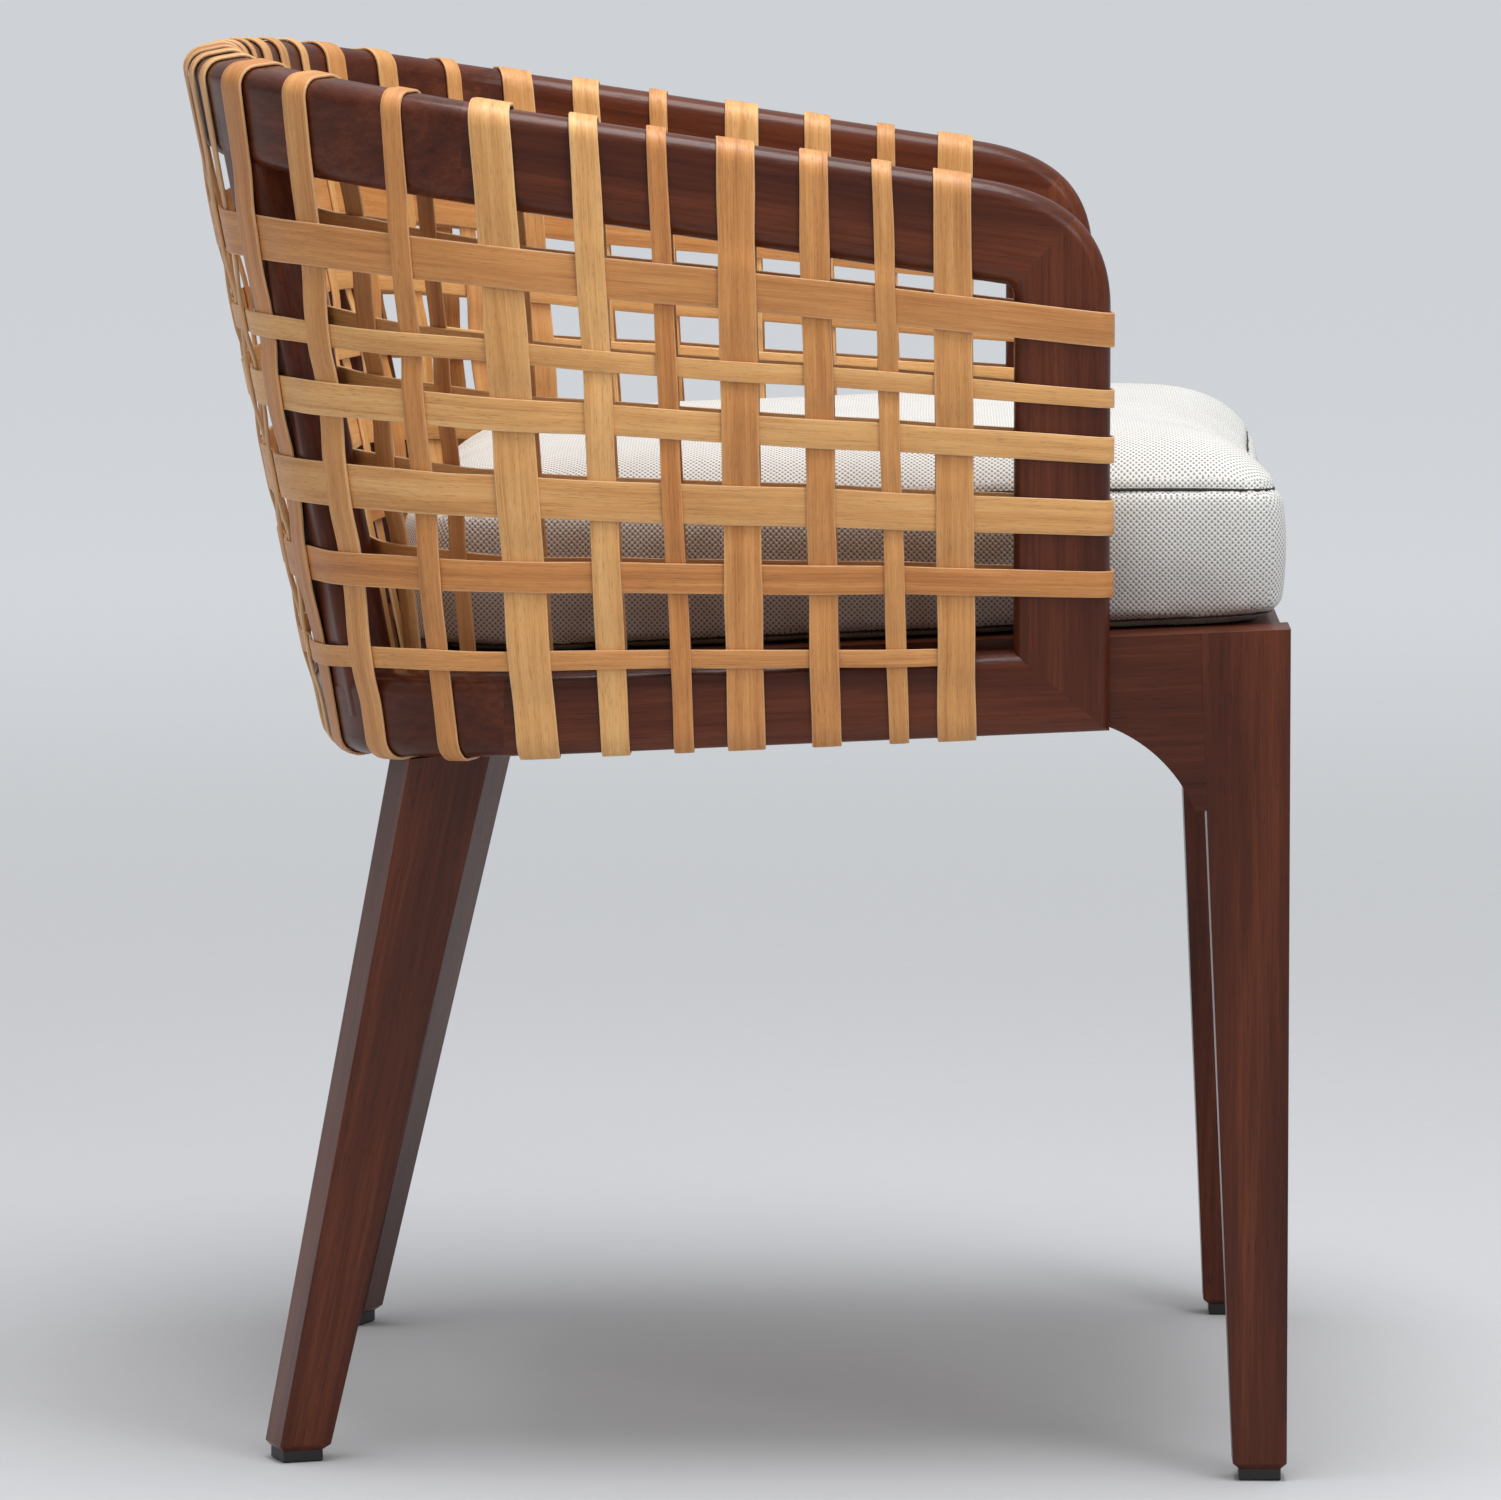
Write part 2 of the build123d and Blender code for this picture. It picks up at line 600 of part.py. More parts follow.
def round_strap(v, width, number):
    height = wall(0.5, 0.5)[3]
    loops = []
    for skin, shifts in ((STRAP_T / 2, (-width / 2, width / 2)),
                         (-STRAP_T / 2, (width / 2, -width / 2))):
        path = round_path(v, number, skin)
        loops += [[wall_point(u, v + s / height, offset) for u, offset in path] for s in shifts]
    return band(loops)


def strip(lines):
    """Solid between open curves, each pair of neighbours joined by a ruled face, ends capped."""
    edges = [Edge.make_spline(points) for points in lines]
    faces = [Face.make_surface_from_curves(edges[i], edges[(i + 1) % len(edges)])
             for i in range(len(edges))]
    for end in (0, -1):
        faces.append(Face(Wire.make_polygon([points[end] for points in lines], close=True)))
    return Solid(Shell(faces))


def tucked_strap(v, width, number, steps=220):
    """The lowest round strap: outside only, its ends tucked under the first uprights."""
    straps = straps_in_order()
    zones = round_zones(v, number, straps, inner=False)
    u_from, u_to = strap_line(straps[0], 0)(v), strap_line(straps[-1], 0)(v)
    height = wall(0.5, 0.5)[3]
    us = [u_from + (u_to - u_from) * i / steps for i in range(steps + 1)]
    lines = []
    for skin, shifts in ((STRAP_T / 2, (-width / 2, width / 2)),
                         (-STRAP_T / 2, (width / 2, -width / 2))):
        for s in shifts:
            lines.append([wall_point(u, v + s / height, weave_offset(over_under(u, zones)) + skin)
                          for u in us])
    return strip(lines)


# ---------------------------------------------------------------- cushion
CUSHION_FRONT_Y = SEAT_FRONT_Y - 3.5
CUSHION_HALF = (266.0, 255.0)      # half width at the front and where the rear corners begin
CUSHION_BACK_Y = 178.0
CUSHION_BOW = 10.0                 # how far the back edge curves forwards at its ends
CUSHION_REAR_R = 105.0
CUSHION_FRONT_R = 26.0


def cushion_plan(inset):
    front_half, rear_half = CUSHION_HALF
    side = [(front_half, CUSHION_FRONT_Y), (rear_half, CUSHION_BACK_Y - CUSHION_REAR_R),
            (rear_half - 4, CUSHION_BACK_Y - CUSHION_BOW)]
    left, right = [Vector(x, y) for x, y in side], [Vector(-x, y) for x, y in side]
    edges = [Edge.make_line(right[0], left[0])]
    for a, b in ((0, 1), (1, 2)):
        edges += [Edge.make_line(left[a], left[b]), Edge.make_line(right[a], right[b])]
    edges.append(Edge.make_three_point_arc(left[2], Vector(0, CUSHION_BACK_Y), right[2]))
    outline = Face(Wire(edges))
    for at_front, radius in ((False, CUSHION_REAR_R), (True, CUSHION_FRONT_R)):
        limit = CUSHION_FRONT_Y + 1 if at_front else left[1].Y + 1
        corners = outline.vertices().filter_by(lambda p: (p.Y < limit) == at_front)
        outline = fillet(corners, radius)
    return offset(outline, -inset) if inset else outline


def cushion_solid(inset):
    """Box cushion on the sloping deck: upright boxing and a broadly rounded top."""
    height = CUSHION_H + CUSHION_CROWN
    tall = Pos(0, 0, 300) * extrude(cushion_plan(inset), 400)
    slab = sloped_slab((-400, -500), (400, 500), -(CUSHION_GAP + height - inset),
                       height - 2 * inset)
    body = (tall & slab).solids()[0]
    top = body.faces().sort_by(Axis.Z)[-1]
    return fillet(top.edges(), CUSHION_CROWN - inset)


# ---------------------------------------------------------------- build and write
def main():
    os.makedirs("parts", exist_ok=True)

    arm, post, lower = basket_frame()
    back_top = bent_rail(TOP_SPLIT_U, 6 - TOP_SPLIT_U, TOP_MIDDLE, TOP_RAIL_H, 24)
    back_low = bent_rail(LOW_SPLIT_U, 6 - LOW_SPLIT_U, LOW_MIDDLE, LOW_RAIL_H, 24)
    stile = rear_post() - back_top - back_low
    stile = max(stile.solids(), key=lambda s: s.volume)

    leg, hind = front_leg(), rear_leg()
    ear, side_rail = bracket(), side_seat_rail()
    front_rail, back_rail = front_seat_rail(), back_seat_rail()
    blocks = [corner_block(True), corner_block(False)]
    seat_board = deck()

    # fasteners on the left side; the right side mirrors them
    block_screws, deck_screws, basket_screws, washers, dowels = [], [], [], [], []
    for piece in blocks:
        box = piece.bounding_box()
        middle_y = (box.min.Y + box.max.Y) / 2
        low = (box.min.Z + box.max.Z) / 2
        block_screws.append(screw((SIDE_RAIL_IN - 26, middle_y, low), (1, 0, 0), 42, 2.2, 4.4))
        deck_screws.append(screw((SIDE_RAIL_IN - 20, middle_y - 11, seat_z(middle_y - 11) - 1.0),
                                 (0, 0, -1), 28, 2.0, 4.0))
    for y in (-70.0, -31.5, 9.0):       # between the straps
        z = seat_z(y) - SEAT_RAIL_H / 2 - 3
        basket_screws.append(screw((SIDE_RAIL_IN, y, z), (1, 0, 0), 44, 2.0, 4.0))
        washers.append(Pos((SIDE_RAIL_OUT + X_IN) / 2, y, z) * Rot(0, 90, 0)
                       * Cylinder(4, X_IN - SIDE_RAIL_OUT))
    ear_z = seat_z(ARM_FRONT_Y) - SEAT_RAIL_H / 2
    dowels.append(rod((X_IN + 8, ARM_FRONT_Y - 16, ear_z), (X_IN + 8, ARM_FRONT_Y + 18, ear_z), 4))
    for dz in (-11, 11):
        x = (SIDE_RAIL_IN + SIDE_RAIL_OUT) / 2
        dowels.append(rod((x, ARM_FRONT_Y - 20, ear_z + dz), (x, ARM_FRONT_Y + 20, ear_z + dz), 4))
    for dz in (-11, 11):
        y = SEAT_FRONT_Y + 4 + SEAT_RAIL_T / 2
        z = seat_z(y) - SEAT_RAIL_H / 2 + dz
        x = FRONT_LEG_X - FRONT_LEG_TOP
        dowels.append(rod((x - 20, y, z), (x + 20, y, z), 4))

    def clear(piece, cutters):
        for cutter in cutters:
            piece = piece - cutter
        return piece

    for i in range(len(blocks)):
        blocks[i] = clear(blocks[i], [block_screws[i], deck_screws[i]])
    side_rail = clear(side_rail, block_screws + basket_screws + dowels)
    lower = clear(lower, basket_screws)
    washers = [clear(w, [s]) for w, s in zip(washers, basket_screws)]
    ear = clear(ear, dowels + block_screws)
    hind = clear(hind, block_screws + deck_screws)
    leg = clear(leg, dowels)
    post = clear(post, dowels)
    both_dowels = dowels + [mirrored(d) for d in dowels]
    front_rail = clear(front_rail, both_dowels)
    seat_board = clear(seat_board, deck_screws + [mirrored(s) for s in deck_screws])
    front_glide = glide(FRONT_LEG_X - FRONT_LEG_FOOT / 2, SEAT_FRONT_Y + FRONT_LEG_FOOT / 2, 0)
    rear_glide = glide(*REAR_LEG_FOOT, -REAR_LEG_TURN)
    leg, hind = leg - front_glide, hind - rear_glide

    for name, piece in (("arm_rail", arm), ("arm_post", post), ("lower_side_rail", lower),
                        ("rear_post", stile), ("front_leg", leg), ("rear_leg", hind),
                        ("leg_bracket", ear), ("side_seat_rail", side_rail)):
        save(f"{name}_left", piece)
        save(f"{name}_right", mirrored(piece))
    save("top_rail_back", back_top)
    save("lower_rail_back", back_low)
    save("front_seat_rail", front_rail)
    save("back_seat_rail", back_rail)
    save("seat_deck", seat_board)
    for name, pieces in (("corner_blocks", blocks), ("corner_block_screws", block_screws),
                         ("deck_screws", deck_screws), ("basket_screws", basket_screws),
                         ("spacer_washers", washers), ("frame_dowels", dowels),
                         ("foot_glides", [front_glide, rear_glide])):
        save(name, *pieces, *[mirrored(p) for p in pieces])

    straps = upright_straps()
    for number in range(1, len(RIGHT_LOW) + 2):
        save(f"upright_strap_{number:02d}", *[upright_strap(s) for s in straps if s[1] == number])
    for number, (v, width) in enumerate(ROUND_STRAPS[:-1], start=1):
        save(f"round_strap_{number}", round_strap(v, width, number))
    last = len(ROUND_STRAPS)
    save(f"round_strap_{last}", tucked_strap(*ROUND_STRAPS[-1], last))

    cover = cushion_solid(0) - cushion_solid(COVER_T)
    save("cushion_cover", cover)
    save("cushion_foam", cushion_solid(COVER_T + 0.1))


main()
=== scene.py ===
# %% [markdown]
# # A low armchair with a woven basket
# The wooden frame comes from the engineer's model and is already in place and at its real size,
# in metres. This lesson dresses it: lacquer on the wood, splint straps woven through each other,
# and a stuffed cushion. Each finish and each soft piece has a cell of its own.

# %% Load the frame
import math
import random
import bpy
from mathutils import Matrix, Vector, noise
from mathutils.bvhtree import BVHTree


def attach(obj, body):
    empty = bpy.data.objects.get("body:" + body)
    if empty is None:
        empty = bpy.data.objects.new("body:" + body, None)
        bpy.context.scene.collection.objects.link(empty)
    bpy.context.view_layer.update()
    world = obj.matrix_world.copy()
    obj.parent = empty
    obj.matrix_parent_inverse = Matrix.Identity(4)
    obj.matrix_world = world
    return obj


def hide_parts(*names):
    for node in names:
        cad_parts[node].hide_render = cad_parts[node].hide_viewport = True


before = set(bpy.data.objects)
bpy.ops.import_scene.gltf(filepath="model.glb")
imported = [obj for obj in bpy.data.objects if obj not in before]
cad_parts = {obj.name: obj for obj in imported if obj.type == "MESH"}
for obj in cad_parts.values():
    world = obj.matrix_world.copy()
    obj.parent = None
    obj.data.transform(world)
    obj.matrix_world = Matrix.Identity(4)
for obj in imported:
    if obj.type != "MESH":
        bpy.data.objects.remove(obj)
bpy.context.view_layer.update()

# %% [markdown]
# ## The viewpoint
# The chair is seen square from its side, from far off with a long lens, so its near and far legs
# almost line up. The camera stands a little above the arm and looks down by about five degrees.

# %% Camera
CAMERA_AT = Vector((-5.312, -0.106, 0.838))
LOOK_DOWN, LOOK_ASIDE = math.radians(5.337), math.radians(1.047)
camera_data = bpy.data.cameras.new("side_view")
camera_data.sensor_width = 36.0
camera_data.lens = 241.85
camera_data.clip_end = 200.0
camera = bpy.data.objects.new("side_view", camera_data)
bpy.context.scene.collection.objects.link(camera)
camera.location = CAMERA_AT
sight = Vector((math.cos(LOOK_DOWN) * math.cos(LOOK_ASIDE),
                math.cos(LOOK_DOWN) * math.sin(LOOK_ASIDE), -math.sin(LOOK_DOWN)))
camera.rotation_euler = sight.to_track_quat("-Z", "Y").to_euler()
bpy.context.scene.camera = camera
print("camera", [round(c, 3) for c in CAMERA_AT], "lens", camera_data.lens)

# %% [markdown]
# ## Node helpers
# Every finish below is a small graph of shader nodes. Three helpers keep the graphs readable: one
# adds a node and wires its inputs, one adds arithmetic, and one makes a colour ramp.


# %% Helpers for materials
class Finish:
    """A material under construction."""

    def __init__(self, name):
        self.material = bpy.data.materials.new(name)
        self.material.use_nodes = True
        self.tree = self.material.node_tree
        self.shader = self.tree.nodes["Principled BSDF"]

    def node(self, kind, inputs=(), **settings):
        made = self.tree.nodes.new(kind)
        for key, value in settings.items():
            setattr(made, key, value)
        for key, value in dict(inputs).items():
            self.wire(value, made.inputs[key])
        return made

    def wire(self, value, socket):
        if isinstance(value, bpy.types.NodeSocket):
            self.tree.links.new(value, socket)
        else:
            socket.default_value = value

    def math(self, operation, a, b=0.0, clamp=False):
        made = self.node("ShaderNodeMath", {0: a, 1: b}, operation=operation, use_clamp=clamp)
        return made.outputs[0]

    def ramp(self, value, *stops):
        made = self.node("ShaderNodeValToRGB", {"Fac": value})
        marks = made.color_ramp.elements
        while len(marks) < len(stops):
            marks.new(0.5)
        for mark, (place, colour) in zip(marks, stops):
            mark.position = place
            mark.color = (*colour, 1.0) if len(colour) == 3 else colour
        return made.outputs["Color"]

    def mix(self, share, a, b, blend="MIX"):
        made = self.node("ShaderNodeMix", data_type="RGBA", blend_type=blend)
        self.wire(share, made.inputs["Factor"])
        for value, socket in ((a, made.inputs[6]), (b, made.inputs[7])):
            is_colour = isinstance(value, tuple) and len(value) == 3
            self.wire((*value, 1.0) if is_colour else value, socket)
        return made.outputs[2]

    def noise(self, at, scale, stretch=(1.0, 1.0, 1.0), detail=4.0, rough=0.55, twist=0.0):
        spread = self.node("ShaderNodeMapping", {"Vector": at, "Scale": stretch})
        return self.node("ShaderNodeTexNoise", {
            "Vector": spread.outputs[0], "Scale": scale, "Detail": detail, "Roughness": rough,
            "Distortion": twist}).outputs["Fac"]

    def surface(self, **sockets):
        for name, value in sockets.items():
            self.wire(value, self.shader.inputs[name.replace("_", " ")])

    def bump(self, height, depth, strength=1.0):
        made = self.node("ShaderNodeBump", {
            "Height": height, "Distance": depth, "Strength": strength})
        self.tree.links.new(made.outputs[0], self.shader.inputs["Normal"])


print("helpers ready")

# %% [markdown]
# ## Dark lacquered wood
# The legs and rails are mahogany, stained dark red-brown and sprayed with a semi-gloss lacquer.
# Grain is noise pulled out along the board: a broad one for the colour bands, a fine one for the
# fibres and a very fine one for the open pores, which the lacquer doesn't quite fill. Each board is
# cut along its own length, so the graph takes the grain's direction and is made once per board.


# %% Lacquered wood
def lacquered_wood(name, grain, seed, curved=False):
    """grain is the board's direction; curved lets it run round the back of the basket."""
    wood = Finish(name)
    where = wood.node("ShaderNodeTexCoord").outputs["Object"]
    if curved:
        parts = wood.node("ShaderNodeSeparateXYZ", {0: where})
        x, y, z = parts.outputs
        behind = wood.math("ADD", y, 0.30)
        turn = wood.math("ARCTAN2", x, behind)
        reach = wood.math("SQRT", wood.math("ADD", wood.math("MULTIPLY", x, x),
                                            wood.math("MULTIPLY", behind, behind)))
        at = wood.node("ShaderNodeCombineXYZ", {0: reach, 1: z, 2: wood.math("MULTIPLY", turn, 0.45)})
        at = at.outputs[0]
    else:
        tilt = Vector(grain).to_track_quat("Z", "Y").inverted().to_euler()
        at = wood.node("ShaderNodeMapping", {"Vector": where, "Rotation": tilt}).outputs[0]
    at = wood.node("ShaderNodeVectorMath", {0: at, 1: (seed * 1.7, seed * 0.9, seed * 2.3)},
                   operation="ADD").outputs[0]
    bands = wood.noise(at, 1.0, (26.0, 26.0, 2.2), detail=3.0, twist=0.6)
    fibres = wood.noise(at, 1.0, (330.0, 330.0, 11.0), detail=5.0, rough=0.65)
    pores = wood.noise(at, 1.0, (1500.0, 1500.0, 70.0), detail=2.0)
    tone = wood.math("ADD", wood.math("MULTIPLY", bands, 0.62), wood.math("MULTIPLY", fibres, 0.38))
    colour = wood.ramp(tone, (0.30, (0.034, 0.0062, 0.0022)), (0.50, (0.088, 0.0185, 0.0065)),
                       (0.70, (0.185, 0.046, 0.0165)))
    open_pore = wood.ramp(pores, (0.60, (0, 0, 0)), (0.72, (1, 1, 1)))
    colour = wood.mix(wood.math("MULTIPLY", open_pore, 0.55), colour, (0.012, 0.004, 0.003))
    smear = wood.noise(at, 9.0, detail=3.0)
    roughness = wood.math("ADD", 0.24, wood.math("MULTIPLY", smear, 0.16))
    wood.surface(Base_Color=colour, Roughness=roughness,
                 Specular_IOR_Level=0.22, Coat_Weight=0.12, Coat_Roughness=0.16)
    relief = wood.math("SUBTRACT", wood.math("MULTIPLY", fibres, 0.5), open_pore)
    wood.bump(relief, 0.00012, 0.5)
    return wood.material


print("lacquered wood is ready to be made for each board")

# %% [markdown]
# ## Lacquer each board
# The frame's pieces keep the shapes that they came with and only get a finish. A table says which
# way each board's grain runs: up the legs and posts, along the rails, and round the back for the
# two bent rails. Every board starts its noise at another place, so no two look alike.


# %% Dress the boards
def dress(node, material):
    """Gives a frame node its finish, through its object's material slots."""
    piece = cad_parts[node]
    if not piece.material_slots:
        piece.data.materials.append(material)
    for place in piece.material_slots:
        place.material = material


UP = (0, 0, 1)
ALONG_ARM, ALONG_SEAT = (0, 1, 0.148), (0, 1, -0.045)
BOARDS = {
    "arm_rail": ALONG_ARM, "arm_post": UP, "lower_side_rail": ALONG_SEAT, "rear_post": (0.1, 0.2, 1),
    "front_leg": UP, "rear_leg": (0.02, -0.21, 1), "leg_bracket": ALONG_SEAT,
    "side_seat_rail": ALONG_SEAT}
for count, (board, grain) in enumerate(BOARDS.items()):
    for side in ("left", "right"):
        mirrored = (-grain[0], grain[1], grain[2]) if side == "right" else grain
        dress(f"{board}_{side}", lacquered_wood(f"lacquer_{board}_{side}", mirrored, count + 3))
for count, board in enumerate(("front_seat_rail", "back_seat_rail")):
    dress(board, lacquered_wood(f"lacquer_{board}", (1, 0, 0), count + 20))
for count, board in enumerate(("top_rail_back", "lower_rail_back")):
    dress(board, lacquered_wood(f"lacquer_{board}", UP, count + 30, curved=True))
print("lacquered boards", len(BOARDS) * 2 + 4)

# %% [markdown]
# ## Plain inner pieces
# The parts that a sitter never sees are left raw: a plywood deck, hardwood blocks and dowels, zinc
# screws, and small dark plastic glides and spacers.


# %% Inner finishes
def raw_wood(name, light, dark, stretch):
    wood = Finish(name)
    where = wood.node("ShaderNodeTexCoord").outputs["Object"]
    grain = wood.noise(where, 1.0, stretch, detail=5.0, rough=0.6)
    wood.surface(Base_Color=wood.ramp(grain, (0.3, dark), (0.7, light)), Roughness=0.7)
    wood.bump(grain, 0.0002, 0.5)
    return wood.material


def speckled(name, colour, roughness, metallic, grit):
    base = Finish(name)
    where = base.node("ShaderNodeTexCoord").outputs["Object"]
    grain = base.noise(where, grit, detail=3.0)
    shade = base.mix(grain, tuple(c * 0.75 for c in colour), tuple(c * 1.25 for c in colour))
    base.surface(Base_Color=shade, Roughness=roughness, Metallic=metallic)
    base.bump(grain, 0.00005, 0.4)
    return base.material


dress("seat_deck", raw_wood("birch_ply", (0.66, 0.50, 0.33), (0.50, 0.34, 0.19), (90.0, 6.0, 400.0)))
raw = raw_wood("raw_hardwood", (0.52, 0.36, 0.21), (0.36, 0.22, 0.11), (200.0, 14.0, 200.0))
for node in ("corner_blocks", "frame_dowels"):
    dress(node, raw)
zinc = speckled("zinc_plate", (0.55, 0.55, 0.53), 0.32, 1.0, 900.0)
for node in ("corner_block_screws", "deck_screws", "basket_screws"):
    dress(node, zinc)
dark_plastic = speckled("glide_plastic", (0.018, 0.017, 0.017), 0.5, 0.0, 2500.0)
for node in ("foot_glides", "spacer_washers"):
    dress(node, dark_plastic)
print("inner finishes done")

# %% [markdown]
# ## The basket's wall
# The straps follow a wall that no plain surface gives: at its foot it runs along the lower rail,
# at its head along the top rail, and it leans out towards the back. Both rails have the same
# plan: a straight arm, a corner and a shallow bow. The wall is all straight lines between equal
# shares of the two plans, so one function gives any point on it, and the straps only have to say
# how far round (u), how far up (v) and how far off the middle they lie.

# %% Sizes of the basket
ARM_FRONT_Y, ARM_X, RAIL_THICK = -0.1935, 0.292, 0.028
TOP_RAIL_H, LOW_RAIL_H, POST_W, RAIL_EDGE_R = 0.050, 0.042, 0.048, 0.009
TOP_FRONT_Z, TOP_RISE = 0.6445, 0.148
LOW_FRONT_Z, LOW_RISE = 0.3795, -0.0454
SEAT_FRONT_Y, SEAT_FRONT_Z = -0.284, 0.430
STRAP_T, STRAP_FIT, WEAVE_GAP = 0.0016, 0.00045, 0.0003
WIDE, NARROW, MEDIUM = 0.019, 0.010, 0.0145
STRAP_LIE = RAIL_THICK / 2 + STRAP_FIT + STRAP_T / 2
WEAVE_AMP = (STRAP_T + WEAVE_GAP) / 2


class HalfRail:
    """One half of a horseshoe rail in plan: straight arm, corner arc, shallow back arc."""

    def __init__(self, corner_r, bow_deg, back_y):
        bow = math.radians(bow_deg)
        self.corner_r, self.bow = corner_r, bow
        self.back_r = corner_r + (ARM_X - corner_r) / math.sin(bow)
        self.back_cy = back_y - self.back_r
        self.corner_cx = ARM_X - corner_r
        self.corner_cy = self.back_cy + (self.back_r - corner_r) * math.cos(bow)
        self.arm = self.corner_cy - ARM_FRONT_Y
        self.corner = corner_r * (math.pi / 2 - bow)
        self.back = self.back_r * bow

    def share(self, distance):
        """Distance along the rail as 0..1 on the arm, 1..2 in the corner, 2..3 on the back."""
        whole = self.arm + self.corner + self.back
        if distance > whole:
            return 6 - self.share(2 * whole - distance)
        if distance <= self.arm:
            return distance / self.arm
        if distance <= self.arm + self.corner:
            return 1 + (distance - self.arm) / self.corner
        return 2 + (distance - self.arm - self.corner) / self.back

    def at(self, share):
        """Point and outward angle at a share."""
        if share <= 1:
            return ARM_X, ARM_FRONT_Y + share * self.arm, 0.0
        if share <= 2:
            angle = (share - 1) * (math.pi / 2 - self.bow)
            return (self.corner_cx + self.corner_r * math.cos(angle),
                    self.corner_cy + self.corner_r * math.sin(angle), angle)
        angle = math.pi / 2 - self.bow + (share - 2) * self.bow
        return self.back_r * math.cos(angle), self.back_cy + self.back_r * math.sin(angle), angle


TOP = HalfRail(0.165, 12.0, 0.273)
LOW = HalfRail(0.100, 9.0, 0.199)
print("half rails, mm:", round((TOP.arm + TOP.corner + TOP.back) * 1000),
      round((LOW.arm + LOW.corner + LOW.back) * 1000))

# %% [markdown]
# ## One function for the wall
# At a share u of the way round, the rails' two plans give a low point and a high point. The wall's
# middle runs straight from one to the other, and its normal leans out as far as they differ. The
# seat and the lower rail fall towards the back, and the top rail climbs.


# %% The wall
def seat_z(y):
    return SEAT_FRONT_Z + LOW_RISE * (y - SEAT_FRONT_Y)


def wall(u, v):
    """Point on the wall's middle, its outward normal and the wall's sloping height."""
    side, share = (-1, u) if u <= 3 else (1, 6 - u)
    low_x, low_y, low_a = LOW.at(share)
    top_x, top_y, top_a = TOP.at(share)
    foot = LOW_FRONT_Z + LOW_RISE * (low_y - ARM_FRONT_Y)
    head = TOP_FRONT_Z + TOP_RISE * (top_y - ARM_FRONT_Y)
    angle = low_a + v * (top_a - low_a)
    lean = (top_x - low_x) * math.cos(angle) + (top_y - low_y) * math.sin(angle)
    lean /= head - foot
    middle = Vector((side * (low_x + v * (top_x - low_x)), low_y + v * (top_y - low_y),
                     foot + v * (head - foot)))
    outward = Vector((side * math.cos(angle), math.sin(angle), -lean)).normalized()
    return middle, outward, (head - foot) * math.hypot(1, lean)


def wall_point(u, v, offset):
    middle, outward, _ = wall(u, v)
    return middle + outward * offset


print("wall height at the arm", round(wall(0.5, 0.5)[2], 4), "at the back", round(wall(3, 0.5)[2], 4))

# %% [markdown]
# ## Where the straps lie
# The weaver repeats three widths, wide, narrow and medium, and sets each strap by eye, so the
# spacing wanders and the two sides differ. Round straps go over an upright where their numbers
# add up to an even number, and under it elsewhere. Inside the basket it is the other way round.

# %% Strap places
RIGHT_LOW = (76, 105, 141, 181, 212, 246, 284, 325, 367, 412, 455, 497, 539, 581)
RIGHT_TOP = (79, 114, 148, 187, 226, 262, 307, 355, 410, 460, 503, 545, 588, 632)
LEFT_LOW = (74, 108, 145, 188, 225, 261, 298, 334, 374, 414, 452, 494, 536, 579)
LEFT_TOP = (76, 115, 153, 195, 241, 281, 322, 363, 411, 457, 499, 542, 586, 631)
ROUND_STRAPS = ((0.757, WIDE), (0.625, NARROW), (0.530, MEDIUM),
                (0.402, WIDE), (0.280, MEDIUM), (0.148, NARROW - 0.001))


def upright_straps():
    """(side, number, distance along the lower rail, along the top rail, width), in order."""
    widths = (WIDE, NARROW, MEDIUM)
    straps = []
    for side, lows, tops in (("right", RIGHT_LOW, RIGHT_TOP), ("left", LEFT_LOW, LEFT_TOP)):
        for i, (low, top) in enumerate(zip(lows, tops)):
            straps.append((side, i + 1, low / 1000, top / 1000, widths[i % 3]))
    half = len(RIGHT_LOW)
    middle_low, middle_top = (rail.arm + rail.corner + rail.back for rail in (LOW, TOP))
    middle = ("back", half + 1, middle_low, middle_top, WIDE)
    return straps[:half] + [middle] + straps[half:][::-1]


def strap_line(strap, shift):
    """Function v -> u of the line up a strap, shifted sideways."""
    side, _, low, top, _ = strap
    low_u, top_u = LOW.share(low + shift), TOP.share(top + shift)
    if side == "left":
        low_u, top_u = 6 - low_u, 6 - top_u
    return lambda v: low_u + v * (top_u - low_u)


def over_under(x, zones):
    """-1 under, +1 over, and smoothly between two zones (start, end, sign)."""
    if x <= zones[0][0]:
        return zones[0][2]
    for (_, end, sign), (start, _, next_sign) in zip(zones, zones[1:]):
        if x <= end:
            return sign
        if x < start:
            t = (x - end) / (start - end)
            return sign + (next_sign - sign) * t * t * (3 - 2 * t)
    return zones[-1][2]


UPRIGHTS = upright_straps()
print("uprights", len(UPRIGHTS), "round straps", len(ROUND_STRAPS))

# %% [markdown]
# ## The path of a strap
# A path is a closed list of pairs. For an upright they are how far up and how far off the middle,
# and for a round strap how far round and how far off the middle. On the wall the strap follows the
# overs and unders, and at a rail or a post it turns round the rounded edges.


# %% Strap paths
TURN = [math.radians(a) for a in (15, 30, 45, 60, 75, 90)]
FLAT = RAIL_THICK / 2 - RAIL_EDGE_R
CROSSING_ROOM = 0.001           # a crossing reaches this far past the other strap's edge
LOW_HOLD = LOW_RAIL_H * 0.6     # straps lie flat on the lower rail up to here
TOP_HOLD = TOP_RAIL_H - 0.002   # and on the top rail from this far below its crest
LOOSE_REACH = 0.1               # share of the wall over which a loose strap lifts off


def lie(sign):
    return STRAP_LIE + WEAVE_AMP + sign * WEAVE_AMP


